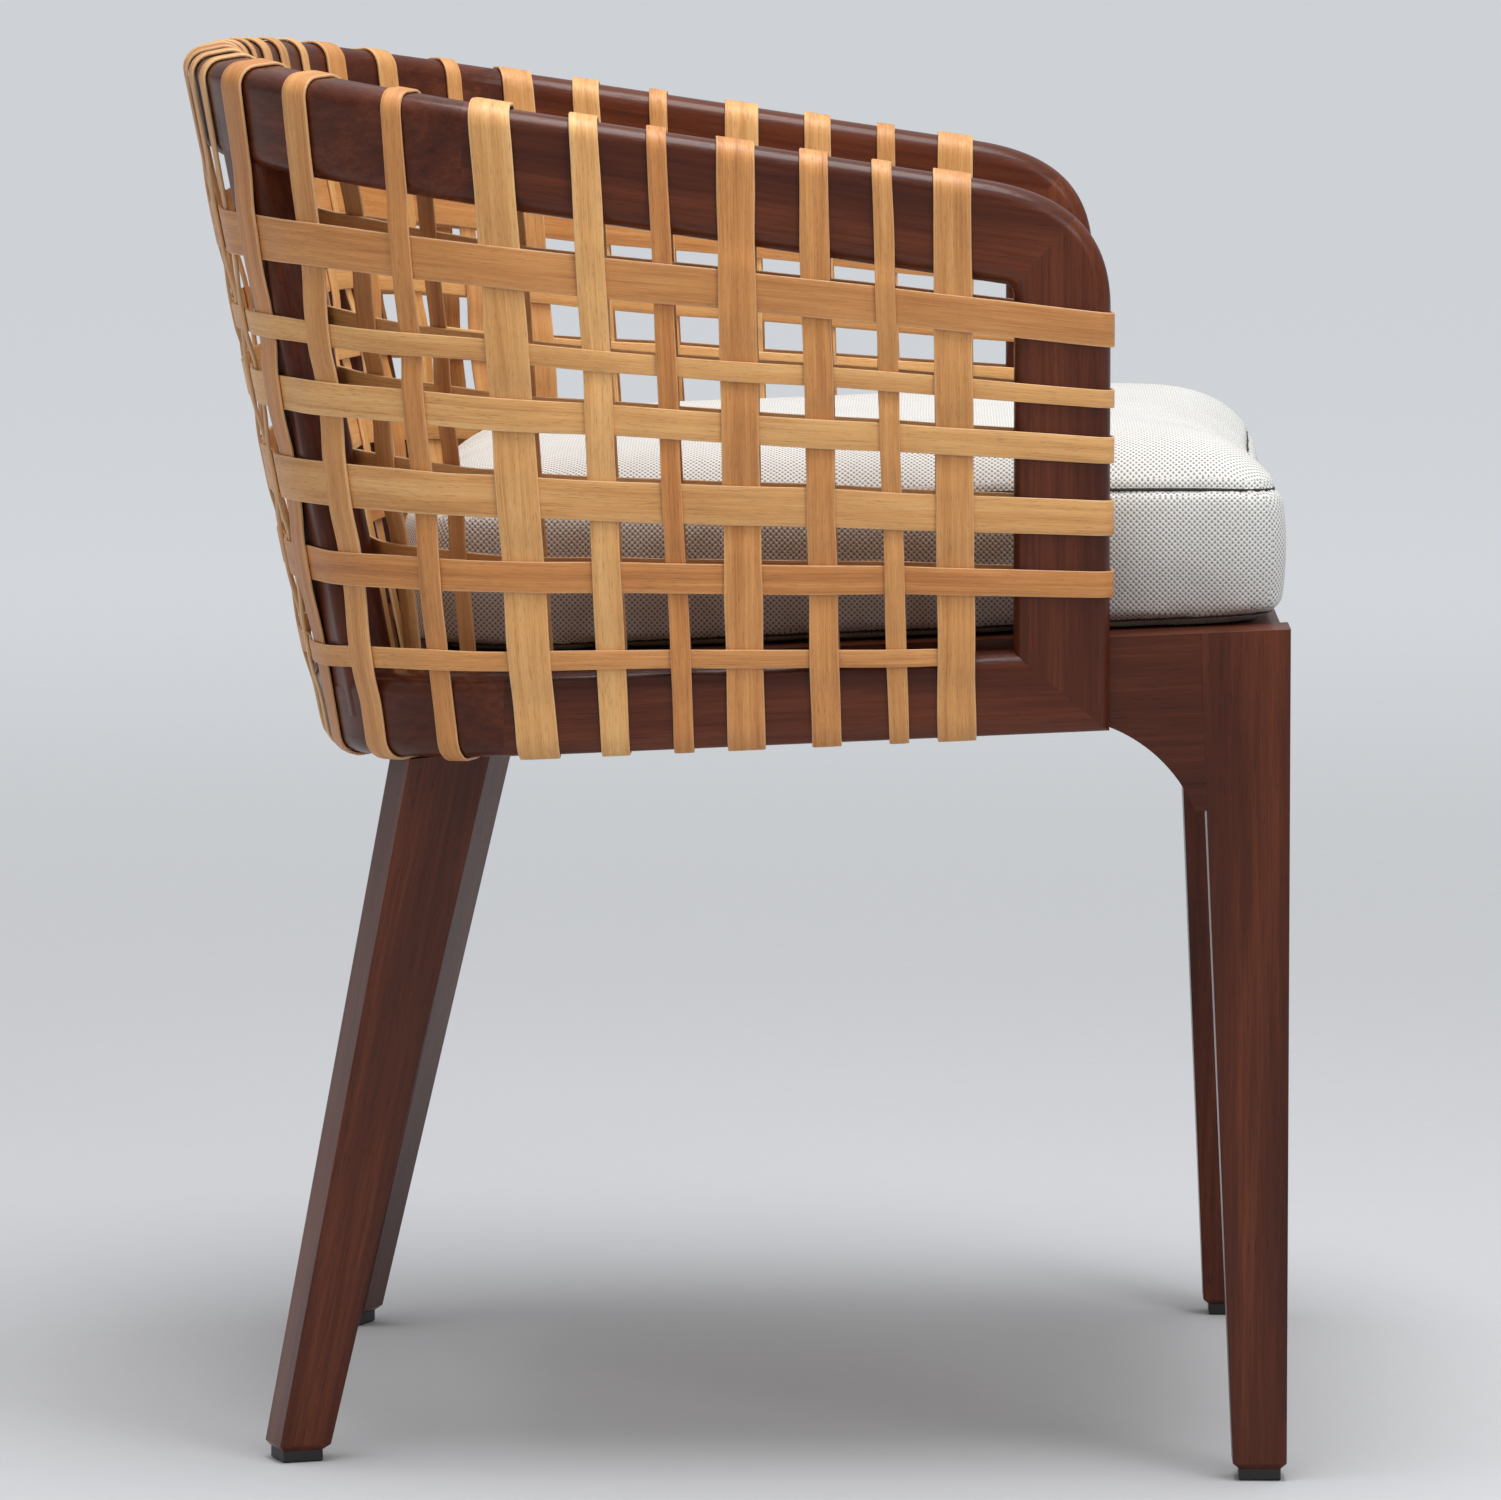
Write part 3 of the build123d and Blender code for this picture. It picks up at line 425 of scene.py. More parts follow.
def upright_path(strap, skin, slack, steps=84):
    """(v, offset) pairs once round an upright. skin shifts through the strap's thickness, and
    slack lifts it off the top rail."""
    height = wall(strap_line(strap, 0)(0.5), 0.5)[2]
    wrap_r = RAIL_EDGE_R + STRAP_FIT + STRAP_T / 2 + skin
    low_turn, top_turn = RAIL_EDGE_R / height, 1 - RAIL_EDGE_R / height
    runs = [low_turn + (top_turn - low_turn) * i / steps for i in range(steps + 1)]
    rail_foot = 1 - TOP_RAIL_H / height
    path = []
    for face in (1, -1):
        zones = [(0.0, LOW_HOLD / height, -1)]
        for j, (v, width) in enumerate(ROUND_STRAPS[::-1]):
            if j == 0 and face < 0:
                continue            # the lowest one stays outside
            half = (width / 2 + CROSSING_ROOM) / height
            upright_over = (strap[1] + len(ROUND_STRAPS) - j) % 2 == (0 if face < 0 else 1)
            zones.append((v - half, v + half, 1 if upright_over else -1))
        zones.append((1 - TOP_HOLD / height, 1.0, -1))
        up = []
        for v in runs:
            lifted = min(max((v - rail_foot + LOOSE_REACH) / LOOSE_REACH, 0.0), 1.0)
            loose = slack * lifted if face > 0 else 0.0
            up.append((v, face * (lie(over_under(v, zones)) + skin + loose)))
        over, under = [], []
        for a in TURN:
            puff = slack * (math.cos(a) if face > 0 else 0.0)
            over.append((top_turn + (wrap_r * math.sin(a) + slack * 0.5 * math.sin(a)) / height,
                         face * (FLAT + wrap_r * math.cos(a) + puff)))
            under.append((low_turn - wrap_r * math.sin(a) / height,
                          face * (FLAT + wrap_r * math.cos(a))))
        half = under[::-1] + up + over
        path += half if face > 0 else half[::-1]
    return path


def round_zones(v, number, inner):
    zones = [(-0.1, POST_W / TOP.arm, -1)]
    for strap in UPRIGHTS:
        half = strap[4] / 2 + CROSSING_ROOM
        edges = sorted(strap_line(strap, shift)(v) for shift in (-half, half))
        round_over = (strap[1] + number) % 2 == (1 if inner else 0)
        zones.append((edges[0], edges[1], 1 if round_over else -1))
    return zones + [(6 - POST_W / TOP.arm, 6.1, -1)]


def round_path(v, number, skin, steps=420):
    """(u, offset) pairs once round the basket, outside and back inside."""
    wrap_r = RAIL_EDGE_R + STRAP_FIT + STRAP_T / 2 + skin
    first = RAIL_EDGE_R / TOP.arm
    runs = [first + (6 - 2 * first) * i / steps for i in range(steps + 1)]
    path = []
    for face in (1, -1):
        zones = round_zones(v, number, inner=face < 0)
        run = [(u, face * (lie(over_under(u, zones)) + skin)) for u in runs]
        ends = [(first - wrap_r * math.sin(a) / TOP.arm, face * (FLAT + wrap_r * math.cos(a)))
                for a in TURN]
        half = ends[::-1] + run + [(6 - u, offset) for u, offset in ends]
        path += half if face > 0 else half[::-1]
    return path


print("points round one upright", len(upright_path(UPRIGHTS[0], 0.0, 0.0)))

# %% [markdown]
# ## A strap as a mesh
# A splint is sliced from a log, so its section is a thin slab with softened edges and a little
# camber. The mesh is that section carried along the path. Its two texture directions are laid
# down while it is made, in metres along and across, because the grain has to follow the strap
# round every bend. Two more values are stored at each point: a tone of the strap's own, and how
# near the point is to the strap's edge.


# %% Section of a strap
EDGE_SOFTNESS, CAMBER = 0.0005, 0.00006


def section(width):
    """(across, through) points once round a strap's section."""
    half, thick, soft = width / 2, STRAP_T / 2, EDGE_SOFTNESS
    corner = [(half, thick - soft), (half - soft * 0.3, thick - soft * 0.3), (half - soft, thick)]
    side = corner + [(half * 0.45, thick + CAMBER), (-half * 0.45, thick + CAMBER)]
    side += [(-x, t) for x, t in corner[::-1]]
    return side + [(-x, -t) for x, t in side]


def wander(along, seed, reach, size):
    """Smooth drift, the same each run."""
    return noise.noise(Vector((along / reach, seed * 7.31, 2.7))) * size


print("section points", len(section(WIDE)))

# %% [markdown]
# ## Carry the section along
# All straps of one node go into one mesh, one run after the other. Neighbouring rings of points
# are joined by four-sided faces. A closed run joins its last ring to its first, and an open one
# gets a cap at each end.


# %% Mesh of a strap
def strap_mesh(name, runs):
    """runs: (rings, width, tone, closed) with rings[k][i] the k-th section point at step i."""
    points, faces, uvs, tones, edges = [], [], [], [], []
    for rings, width, tone, closed in runs:
        base, around, steps = len(points), len(rings), len(rings[0])
        outline = section(width)
        girth = [0.0]
        for (x0, t0), (x1, t1) in zip(outline, outline[1:] + outline[:1]):
            girth.append(girth[-1] + math.hypot(x1 - x0, t1 - t0))
        along = [0.0]
        for i in range(steps):
            along.append(along[-1] + (rings[0][(i + 1) % steps] - rings[0][i]).length)
        for i in range(steps):
            for k in range(around):
                points.append(rings[k][i])
                tones.append(tone)
                edges.append(min(abs(outline[k][0]) / (width / 2), 1.0))
        for i in range(steps if closed else steps - 1):
            j = (i + 1) % steps
            for k in range(around):
                m = (k + 1) % around
                faces.append((base + i * around + k, base + i * around + m,
                              base + j * around + m, base + j * around + k))
                uvs += [(along[i], girth[k]), (along[i], girth[k + 1]),
                        (along[i + 1], girth[k + 1]), (along[i + 1], girth[k])]
        if not closed:
            for i in (0, steps - 1):
                order = list(range(around)) if i else list(range(around))[::-1]
                faces.append(tuple(base + i * around + k for k in order))
                uvs += [(along[i], girth[k]) for k in order]
    mesh = bpy.data.meshes.new(name)
    mesh.from_pydata([tuple(p) for p in points], [], faces)
    layer = mesh.uv_layers.new(name="splint")
    layer.data.foreach_set("uv", [c for uv in uvs for c in uv])
    for label, values in (("strap_tone", tones), ("strap_edge", edges)):
        mesh.attributes.new(label, "FLOAT", "POINT").data.foreach_set("value", values)
    mesh.polygons.foreach_set("use_smooth", [True] * len(faces))
    mesh.update()
    piece = bpy.data.objects.new(name, mesh)
    bpy.context.scene.collection.objects.link(piece)
    return piece


print("a strap's section has", len(section(NARROW)), "points whatever its width")

# %% [markdown]
# ## Oak splint
# Quartered oak in its natural colour, with a thin satin finish. Long streaks of noise make the
# grain, short dark dashes are its pores, and the cut edges are a little paler. Straps cut from
# different boards differ in tone, so each one takes its own colour from the stored value.


# %% Splint finish
def splint_finish():
    oak = Finish("oak_splint")
    uv = oak.node("ShaderNodeUVMap", uv_map="splint").outputs[0]
    tone = oak.node("ShaderNodeAttribute", attribute_name="strap_tone").outputs["Fac"]
    edge = oak.node("ShaderNodeAttribute", attribute_name="strap_edge").outputs["Fac"]
    lane = oak.node("ShaderNodeCombineXYZ", {2: oak.math("MULTIPLY", tone, 41.0)}).outputs[0]
    at = oak.node("ShaderNodeVectorMath", {0: uv, 1: lane}, operation="ADD").outputs[0]
    figure = oak.noise(at, 1.0, (5.0, 170.0, 1.0), detail=3.0, twist=0.4)
    fibres = oak.noise(at, 1.0, (24.0, 1300.0, 1.0), detail=5.0, rough=0.7)
    pores = oak.noise(at, 1.0, (150.0, 2600.0, 1.0), detail=2.0)
    blotch = oak.noise(at, 1.0, (11.0, 40.0, 1.0), detail=2.0)
    grain = oak.math("ADD", oak.math("MULTIPLY", figure, 0.5), oak.math("MULTIPLY", fibres, 0.5))
    pale = oak.ramp(grain, (0.30, (0.57, 0.25, 0.070)), (0.50, (0.80, 0.42, 0.145)),
                    (0.70, (0.93, 0.58, 0.24)))
    brown = oak.ramp(grain, (0.30, (0.38, 0.128, 0.031)), (0.50, (0.63, 0.255, 0.070)),
                     (0.70, (0.82, 0.39, 0.125)))
    colour = oak.mix(oak.ramp(tone, (0.15, (0, 0, 0)), (0.95, (1, 1, 1))), pale, brown)
    shade = oak.ramp(blotch, (0.3, (0.84, 0.80, 0.76)), (0.7, (1.0, 1.0, 1.0)))
    colour = oak.mix(1.0, colour, shade, blend="MULTIPLY")
    dash = oak.ramp(pores, (0.58, (0, 0, 0)), (0.70, (1, 1, 1)))
    colour = oak.mix(oak.math("MULTIPLY", dash, 0.42), colour, (0.20, 0.075, 0.022))
    rim = oak.ramp(edge, (0.90, (0, 0, 0)), (1.0, (1, 1, 1)))
    colour = oak.mix(oak.math("MULTIPLY", rim, 0.35), colour, (0.90, 0.68, 0.42))
    roughness = oak.math("ADD", 0.36, oak.math("MULTIPLY", fibres, 0.2))
    oak.surface(Base_Color=colour, Roughness=roughness, Specular_IOR_Level=0.4, Coat_Weight=0.12,
                Coat_Roughness=0.3)
    relief = oak.math("SUBTRACT", fibres, oak.math("MULTIPLY", dash, 0.8))
    oak.bump(relief, 0.00018, 0.6)
    return oak.material


OAK = splint_finish()
print("finish", OAK.name)

# %% [markdown]
# ## Weave the uprights
# Each upright goes up the outside, over the top rail, down the inside and back under the lower
# rail. It drifts sideways by a fraction of a millimetre, and a few straps sit a little loose on
# the rail, as hand-pulled straps do.

# %% Upright straps
chooser = random.Random(11)
LOOSE = {("right", 6): 0.0022, ("right", 7): 0.0026}     # the two that stand off the rail most
UPRIGHT_DRIFT, WIDTH_CHANGE = 0.0007, 0.05


def upright_rings(strap, seed, slack):
    rings = []
    for across, through in section(strap[4]):
        path = upright_path(strap, through, slack)
        ring = []
        for v, offset in path:
            drift = wander(v * 0.3 + (0.5 if offset < 0 else 0), seed, 0.05, UPRIGHT_DRIFT)
            wider = 1 + wander(v * 0.3, seed + 9.0, 0.03, WIDTH_CHANGE)
            ring.append(wall_point(strap_line(strap, across * wider + drift)(v), v, offset))
        rings.append(ring)
    return rings


for number in range(1, len(RIGHT_LOW) + 2):
    runs = []
    for strap in UPRIGHTS:
        if strap[1] == number:
            seed = number + (50 if strap[0] == "left" else 0)
            slack = LOOSE.get(strap[:2], chooser.uniform(0.0, 0.0006))
            runs.append((upright_rings(strap, seed, slack), strap[4], chooser.random(), True))
    piece = strap_mesh(f"splint_upright_{number:02d}", runs)
    piece.data.materials.append(OAK)
    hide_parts(f"upright_strap_{number:02d}")
    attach(piece, "chair")
print("uprights woven", len(RIGHT_LOW) + 1)

# %% [markdown]
# ## Weave the round straps
# Five straps circle the whole basket, outside and inside, and turn round the fronts of the arm
# posts. The lowest one is outside only, and its ends are tucked under the first uprights.

# %% Round straps
ROUND_DRIFT, TUCKED_STEPS = 0.0012, 380
for number, (v, width) in enumerate(ROUND_STRAPS, start=1):
    height = wall(0.5, 0.5)[2]
    tucked = number == len(ROUND_STRAPS)
    rings = []
    for across, through in section(width):
        if tucked:
            zones = round_zones(v, number, inner=False)
            ends = [strap_line(UPRIGHTS[k], 0)(v) for k in (0, -1)]
            us = [ends[0] + (ends[1] - ends[0]) * i / TUCKED_STEPS for i in range(TUCKED_STEPS + 1)]
            path = [(u, lie(over_under(u, zones)) + through) for u in us]
        else:
            path = round_path(v, number, through)
        ring = []
        for u, offset in path:
            drift = wander(u, number + 80, 0.35, ROUND_DRIFT)
            wider = 1 + wander(u, number + 90, 0.2, WIDTH_CHANGE)
            ring.append(wall_point(u, v + (across * wider + drift) / height, offset))
        rings.append(ring)
    piece = strap_mesh(f"splint_round_{number}", [(rings, width, chooser.random(), not tucked)])
    piece.data.materials.append(OAK)
    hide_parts(f"round_strap_{number}")
    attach(piece, "chair")
print("round straps woven", len(ROUND_STRAPS))

# %% [markdown]
# ## The cushion's cover
# A box cushion is a top panel, a bottom panel and an upright strip, the boxing, sewn between them.
# The stuffing pushes the top into a broad crown and the boxing into a shallow bulge, and the two
# seams hold the edges back. The base shape below is rings round the seat's outline, from the
# middle of the underside, up the boxing and over the crown. A short cloth simulation with air
# pressure inside then swells it, so that the crown and the corners find their own form.

# %% Cushion outline
CUSHION_FRONT, CUSHION_BACK, CUSHION_BOW = -0.2875, 0.178, 0.010
CUSHION_HALF = (0.266, 0.255)
FRONT_R, REAR_R = 0.026, 0.105
TOP_SEAM_HEIGHT, LOW_SEAM_HEIGHT = 0.0725, 0.0045
TOP_SEAM_DROOP, LOW_SEAM_LIFT = 0.006, 0.001    # along the front edge
FRONT_REACH = 0.07                              # how far back these two fade out
DECK_GAP = 0.0006                               # daylight between the cushion and the deck


def front_share(y):
    """1 at the cushion's front edge, fading to 0 towards the back."""
    return math.exp(-max(y - CUSHION_FRONT, 0.0) / FRONT_REACH)


def top_seam(y):
    """Height of the upper seam above the deck."""
    return TOP_SEAM_HEIGHT - TOP_SEAM_DROOP * front_share(y)


def low_seam(y):
    """Height of the lower seam above the deck."""
    return LOW_SEAM_HEIGHT + LOW_SEAM_LIFT * front_share(y)


def rounded(corners, radii, steps=14):
    """Outline through rounded corners."""
    out = []
    for i, (corner, radius) in enumerate(zip(corners, radii)):
        here = Vector(corner)
        before, after = Vector(corners[i - 1]) - here, Vector(corners[(i + 1) % len(corners)]) - here
        half = before.angle(after) / 2
        reach = radius / math.tan(half)
        before, after = before.normalized(), after.normalized()
        centre = here + (before + after).normalized() * radius / math.sin(half)
        a, b = here + before * reach - centre, here + after * reach - centre
        for k in range(steps + 1):
            out.append(centre + a.lerp(b, k / steps).normalized() * radius)
    return out


def resample(points, count):
    lengths = [0.0]
    for a, b in zip(points, points[1:] + points[:1]):
        lengths.append(lengths[-1] + (b - a).length)
    out, k = [], 0
    for i in range(count):
        target = lengths[-1] * i / count
        while lengths[k + 1] < target:
            k += 1
        share = (target - lengths[k]) / (lengths[k + 1] - lengths[k])
        out.append(points[k].lerp(points[(k + 1) % len(points)], share))
    return out


front, rear = CUSHION_HALF
corners = [(-front, CUSHION_FRONT), (front, CUSHION_FRONT), (rear - 4e-3, CUSHION_BACK - CUSHION_BOW),
           (0.0, CUSHION_BACK + 0.0005), (-rear + 4e-3, CUSHION_BACK - CUSHION_BOW)]
OUTLINE = resample(rounded(corners, (FRONT_R, FRONT_R, REAR_R, 0.9, REAR_R)), 220)
CENTRE = Vector((0.0, -0.055))
print("outline points", len(OUTLINE), "length", round(sum((a - b).length for a, b in zip(
    OUTLINE, OUTLINE[1:] + OUTLINE[:1])), 3))

# %% [markdown]
# ## The cushion before it is stuffed
# Rings follow the outline from the middle of the flat underside, out to the lower seam, up the
# boxing and over the crown. The upper seam hangs a little lower along the front, where a sitter's
# legs have pressed it down.


# %% Cushion shape
CROWN_HEIGHT, CROWN_REACH, SEAM_INSET = 0.027, 0.032, 0.005


def crown(inset):
    """Height of the top panel above the seam, from the seam inwards."""
    return CROWN_HEIGHT * (1 - math.exp(-(inset - SEAM_INSET) / CROWN_REACH))


def cushion_rings():
    """(inset from the outline, share of the way from low to top seam, height above the top seam)
    from the underside to the crown."""
    under = [(0.20, -0.055, 0), (0.12, -0.055, 0), (0.05, -0.055, 0), (0.010, -0.055, 0),
             (0.003, -0.03, 0)]
    boxing = [(0.0015, 0, 0), (0.0004, 0.14, 0), (-0.0008, 0.30, 0), (-0.0012, 0.48, 0),
              (-0.0008, 0.66, 0), (0.0008, 0.84, 0), (SEAM_INSET, 1, 0)]
    insets = (0.009, 0.014, 0.020, 0.028, 0.038, 0.052, 0.072, 0.10, 0.13, 0.17, 0.21)
    return under + boxing + [(i, 1, crown(i)) for i in insets]


def cushion_base(shrink):
    points, faces = [], []
    count = len(OUTLINE)
    rings = cushion_rings()
    for inset, share, above in rings:
        for p in OUTLINE:
            arm = p - CENTRE
            flat = CENTRE + arm * (1 - (inset + shrink) / arm.length)
            height = low_seam(flat.y) + share * (top_seam(flat.y) - low_seam(flat.y)) + above
            height = DECK_GAP + max(height - shrink * 0.6, 0.0004)
            points.append((flat.x, flat.y, seat_z(flat.y) + height))
    for r in range(len(rings) - 1):
        for k in range(count):
            m = (k + 1) % count
            faces.append((r * count + k, r * count + m, (r + 1) * count + m, (r + 1) * count + k))
    faces.append(tuple(range(count))[::-1])
    faces.append(tuple((len(rings) - 1) * count + k for k in range(count)))
    mesh = bpy.data.meshes.new("seat_cushion")
    mesh.from_pydata(points, [], faces)
    piece = bpy.data.objects.new("seat_cushion", mesh)
    bpy.context.scene.collection.objects.link(piece)
    return piece


ROOM_TO_SWELL = 0.003
cushion = cushion_base(ROOM_TO_SWELL)
print("base cushion faces", len(cushion.data.polygons))

# %% [markdown]
# ## Stuff it
# The mesh is first made even, and then a cloth simulation blows it up with a light pressure. No
# point may move more than a few millimetres, so the seams stay where they are sewn.


# %% Swell the cushion
def bake_modifiers(piece):
    """Replaces a piece's mesh by what its modifiers make of it."""
    bpy.context.view_layer.update()
    seen = piece.evaluated_get(bpy.context.evaluated_depsgraph_get())
    mesh = bpy.data.meshes.new_from_object(seen)
    piece.modifiers.clear()
    piece.data = mesh


def swell(piece, voxel, pressure, cap, frames):
    remesh = piece.modifiers.new("even_faces", "REMESH")
    remesh.mode, remesh.voxel_size = "VOXEL", voxel
    bake_modifiers(piece)
    rest = [v.co.copy() for v in piece.data.vertices]
    cloth = piece.modifiers.new("stuffing", "CLOTH")
    cloth.settings.use_pressure = True
    cloth.settings.uniform_pressure_force = pressure
    cloth.settings.effector_weights.gravity = 0.0
    for step in range(1, frames + 1):
        bpy.context.scene.frame_set(step)
    bake_modifiers(piece)
    bpy.context.scene.frame_set(1)
    for vertex, start in zip(piece.data.vertices, rest):
        move = vertex.co - start
        if move.length > cap:
            vertex.co = start + move * (cap / move.length)


swell(cushion, voxel=0.005, pressure=4.0, cap=0.0045, frames=20)
smoother = cushion.modifiers.new("finer", "SUBSURF")
smoother.levels = smoother.render_levels = 1
bake_modifiers(cushion)
print("cushion faces", len(cushion.data.polygons))

# %% [markdown]
# ## Seams
# A seam pulls the cloth in. After the simulation the surface is drawn inwards in a narrow groove
# where each seam runs, and the cloth puckers a little on both sides of it. The stitched line
# itself is a thin cord laid into the groove, coloured near black as painted shade for the
# shadow in the seam's fold.


# %% Grooves and seam cords
EDGE_ZONE = 0.17                    # only points this far from the cushion's middle are at a seam
TOP_GROOVE, LOW_GROOVE = 0.0022, 0.0012
GROOVE_HALF, RIPPLE, CORD_R = 0.0024, 0.0005, 0.0008


def draw_in(piece):
    """Pulls the surface in along both seams and keeps the underside on the deck."""
    mesh = piece.data
    normals = [v.normal.copy() for v in mesh.vertices]
    for vertex, normal in zip(mesh.vertices, normals):
        height = vertex.co.z - seat_z(vertex.co.y)
        along = math.atan2(vertex.co.y - CENTRE.y, vertex.co.x)
        out = (Vector(vertex.co[:2]) - CENTRE).length
        if out > EDGE_ZONE:
            for seam, depth in ((top_seam(vertex.co.y), TOP_GROOVE), (low_seam(vertex.co.y), LOW_GROOVE)):
                away = (height - seam) / GROOVE_HALF
                if abs(away) < 4:
                    pucker = 1 + 0.25 * noise.noise(Vector((along * 30, seam * 90, 0)))
                    vertex.co -= normal * depth * pucker * math.exp(-away * away)
                    ripple = noise.noise(Vector((along * 55, height * 60, 3.0)))
                    vertex.co += normal * RIPPLE * ripple * math.exp(-away * away / 8)
        vertex.co.z = max(vertex.co.z, seat_z(vertex.co.y) + DECK_GAP)


def seam_cord(name, height, radius):
    """A thin tube laid on the cushion along a seam, whose height is a function of y."""
    tree = BVHTree.FromObject(cushion, bpy.context.evaluated_depsgraph_get())
    path = []
    for p in OUTLINE:
        inward = (CENTRE - p).normalized()
        start = p - inward * 0.05
        ray = Vector((inward.x, inward.y, inward.y * LOW_RISE)).normalized()
        hit = tree.ray_cast(Vector((start.x, start.y, seat_z(start.y) + height(p.y))), ray)
        if hit[0] is not None:
            path.append(hit[0])
    curve = bpy.data.curves.new(name, "CURVE")
    curve.dimensions = "3D"
    curve.bevel_depth, curve.bevel_resolution = radius, 2
    line = curve.splines.new("POLY")
    line.points.add(len(path) - 1)
    for point, co in zip(line.points, path):
        point.co = (*co, 1.0)
    line.use_cyclic_u = True
    rough = bpy.data.objects.new(name, curve)
    bpy.context.scene.collection.objects.link(rough)
    bpy.context.view_layer.update()
    mesh = bpy.data.meshes.new_from_object(rough.evaluated_get(bpy.context.evaluated_depsgraph_get()))
    bpy.data.objects.remove(rough)
    piece = bpy.data.objects.new(name, mesh)
    bpy.context.scene.collection.objects.link(piece)
    return piece


draw_in(cushion)
cushion.data.polygons.foreach_set("use_smooth", [True] * len(cushion.data.polygons))
bpy.context.view_layer.update()
SEAMS = [seam_cord("cushion_seam_top", top_seam, CORD_R),
         seam_cord("cushion_seam_low", low_seam, CORD_R)]
print("seam cords", [len(s.data.vertices) for s in SEAMS])

# %% [markdown]
# ## Hopsack cloth
# The cover is a coarse off-white basket weave with a few darker slubs. Two crossed sine waves give
# the little pillows of the weave, and the colour follows their height, darkest in the hollows as
# painted shade between the yarns. The pillows are worked out on three planes and chosen by which
# way the surface faces, so the cloth needs no unwrapping.


# %% Cloth finish
THREAD_PAIR = 0.00145           # width of one pillow of the weave


def hopsack():
    cloth = Finish("hopsack")
    where = cloth.node("ShaderNodeTexCoord").outputs["Object"]
    wobble = cloth.node("ShaderNodeTexNoise", {"Vector": where, "Scale": 35.0, "Detail": 2.0})
    shift = cloth.node("ShaderNodeVectorMath", {0: wobble.outputs["Color"], 1: (0.0018,) * 3},
                       operation="MULTIPLY").outputs[0]
    at = cloth.node("ShaderNodeVectorMath", {0: where, 1: shift}, operation="ADD").outputs[0]
    x, y, z = cloth.node("ShaderNodeSeparateXYZ", {0: at}).outputs
    facing = cloth.node("ShaderNodeTexCoord").outputs["Normal"]
    nx, ny, nz = cloth.node("ShaderNodeSeparateXYZ", {0: facing}).outputs
    pitch = math.pi / THREAD_PAIR

    def pillows(a, b):
        across = cloth.math("SINE", cloth.math("MULTIPLY", a, pitch))
        down = cloth.math("SINE", cloth.math("MULTIPLY", b, pitch))
        return cloth.math("MULTIPLY", across, down)

    side_on = cloth.math("GREATER_THAN", cloth.math("ABSOLUTE", nx), cloth.math("ABSOLUTE", ny))
    flat_on = cloth.math("GREATER_THAN", cloth.math("ABSOLUTE", nz), 0.62)
    sides = cloth.node("ShaderNodeMix", {0: side_on, 2: pillows(x, z), 3: pillows(y, z)}).outputs[0]
    weave = cloth.node("ShaderNodeMix", {0: flat_on, 2: sides, 3: pillows(x, y)}).outputs[0]
    height = cloth.math("ADD", cloth.math("MULTIPLY", weave, 0.5), 0.5)
    slub = cloth.noise(where, 1.0, (700.0, 700.0, 700.0), detail=2.0)
    cloudy = cloth.noise(where, 22.0, detail=3.0)
    # painted shade: the weave's colour follows its height, near black in the hollows
    colour = cloth.ramp(height, (0.0, (0.10, 0.095, 0.085)), (0.22, (0.42, 0.41, 0.39)),
                        (0.5, (0.74, 0.73, 0.70)), (1.0, (0.82, 0.82, 0.80)))
    speck = cloth.ramp(slub, (0.28, (1, 1, 1)), (0.40, (0, 0, 0)))
    colour = cloth.mix(cloth.math("MULTIPLY", speck, 0.35), colour, (0.34, 0.31, 0.27))
    colour = cloth.mix(1.0, colour, cloth.ramp(cloudy, (0.3, (0.94, 0.93, 0.92)), (0.7, (1, 1, 1))),
                       blend="MULTIPLY")
    cloth.surface(Base_Color=colour, Roughness=0.92, Specular_IOR_Level=0.2, Sheen_Weight=0.15,
                  Sheen_Roughness=0.5)
    cloth.bump(cloth.math("ADD", height, cloth.math("MULTIPLY", slub, 0.6)), 0.0004, 0.8)
    return cloth.material


HOPSACK = hopsack()
print("finish", HOPSACK.name)

# %% [markdown]
# ## Seam cords, and the cushion put together
# The seam cords are coloured near black, painted shade for the shadow in each seam's fold. The
# cushion takes the place of the plain cover and foam, and rides with the loose cushion, as its
# seams do.


# %% Dress the cushion
def seam_shadow_cord():
    cord_shade = Finish("seam_shadow_cord")
    where = cord_shade.node("ShaderNodeTexCoord").outputs["Object"]
    twist = cord_shade.noise(where, 1400.0, detail=2.0)
    # painted shade: near black stands in for the shadow in the seam's fold; the cord's slight ridge is
    # real
    colour = cord_shade.ramp(twist, (0.35, (0.012, 0.010, 0.009)), (0.7, (0.06, 0.052, 0.045)))
    cord_shade.surface(Base_Color=colour, Roughness=0.85)
    return cord_shade.material


cushion.data.materials.clear()
cushion.data.materials.append(HOPSACK)
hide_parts("cushion_cover", "cushion_foam")
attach(cushion, "cushion")
SEAM_SHADE = seam_shadow_cord()
for seam in SEAMS:
    seam.data.materials.append(SEAM_SHADE)
    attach(seam, "cushion")
print("cushion dressed")

# %% [markdown]
# ## Floor and light
# The chair stands on a wide pale floor that runs out to the horizon, so the background is the
# floor itself. Its colour is painted a shade darker round the chair, as painted shade for where
# less of the sky reaches it.


# %% Floor
def pale_floor():
    paper = Finish("pale_floor")
    where = paper.node("ShaderNodeTexCoord").outputs["Object"]
    far = paper.node("ShaderNodeVectorMath", {0: where}, operation="LENGTH").outputs["Value"]
    share = paper.node("ShaderNodeMapRange", {0: far, 1: 0.4, 2: 6.5, 3: 0.0, 4: 1.0},
                       interpolation_type="SMOOTHERSTEP").outputs[0]
    grit = paper.noise(where, 60.0, detail=2.0)
    # painted shade: the floor's colour is darker within a few metres of the chair
    colour = paper.mix(share, (0.56, 0.565, 0.58), (0.93, 0.945, 0.96))
    colour = paper.mix(1.0, colour, paper.ramp(grit, (0.3, (0.985,) * 3), (0.7, (1.0,) * 3)),
                       blend="MULTIPLY")
    paper.surface(Base_Color=colour, Roughness=0.95, Specular_IOR_Level=0.1)
    return paper.material


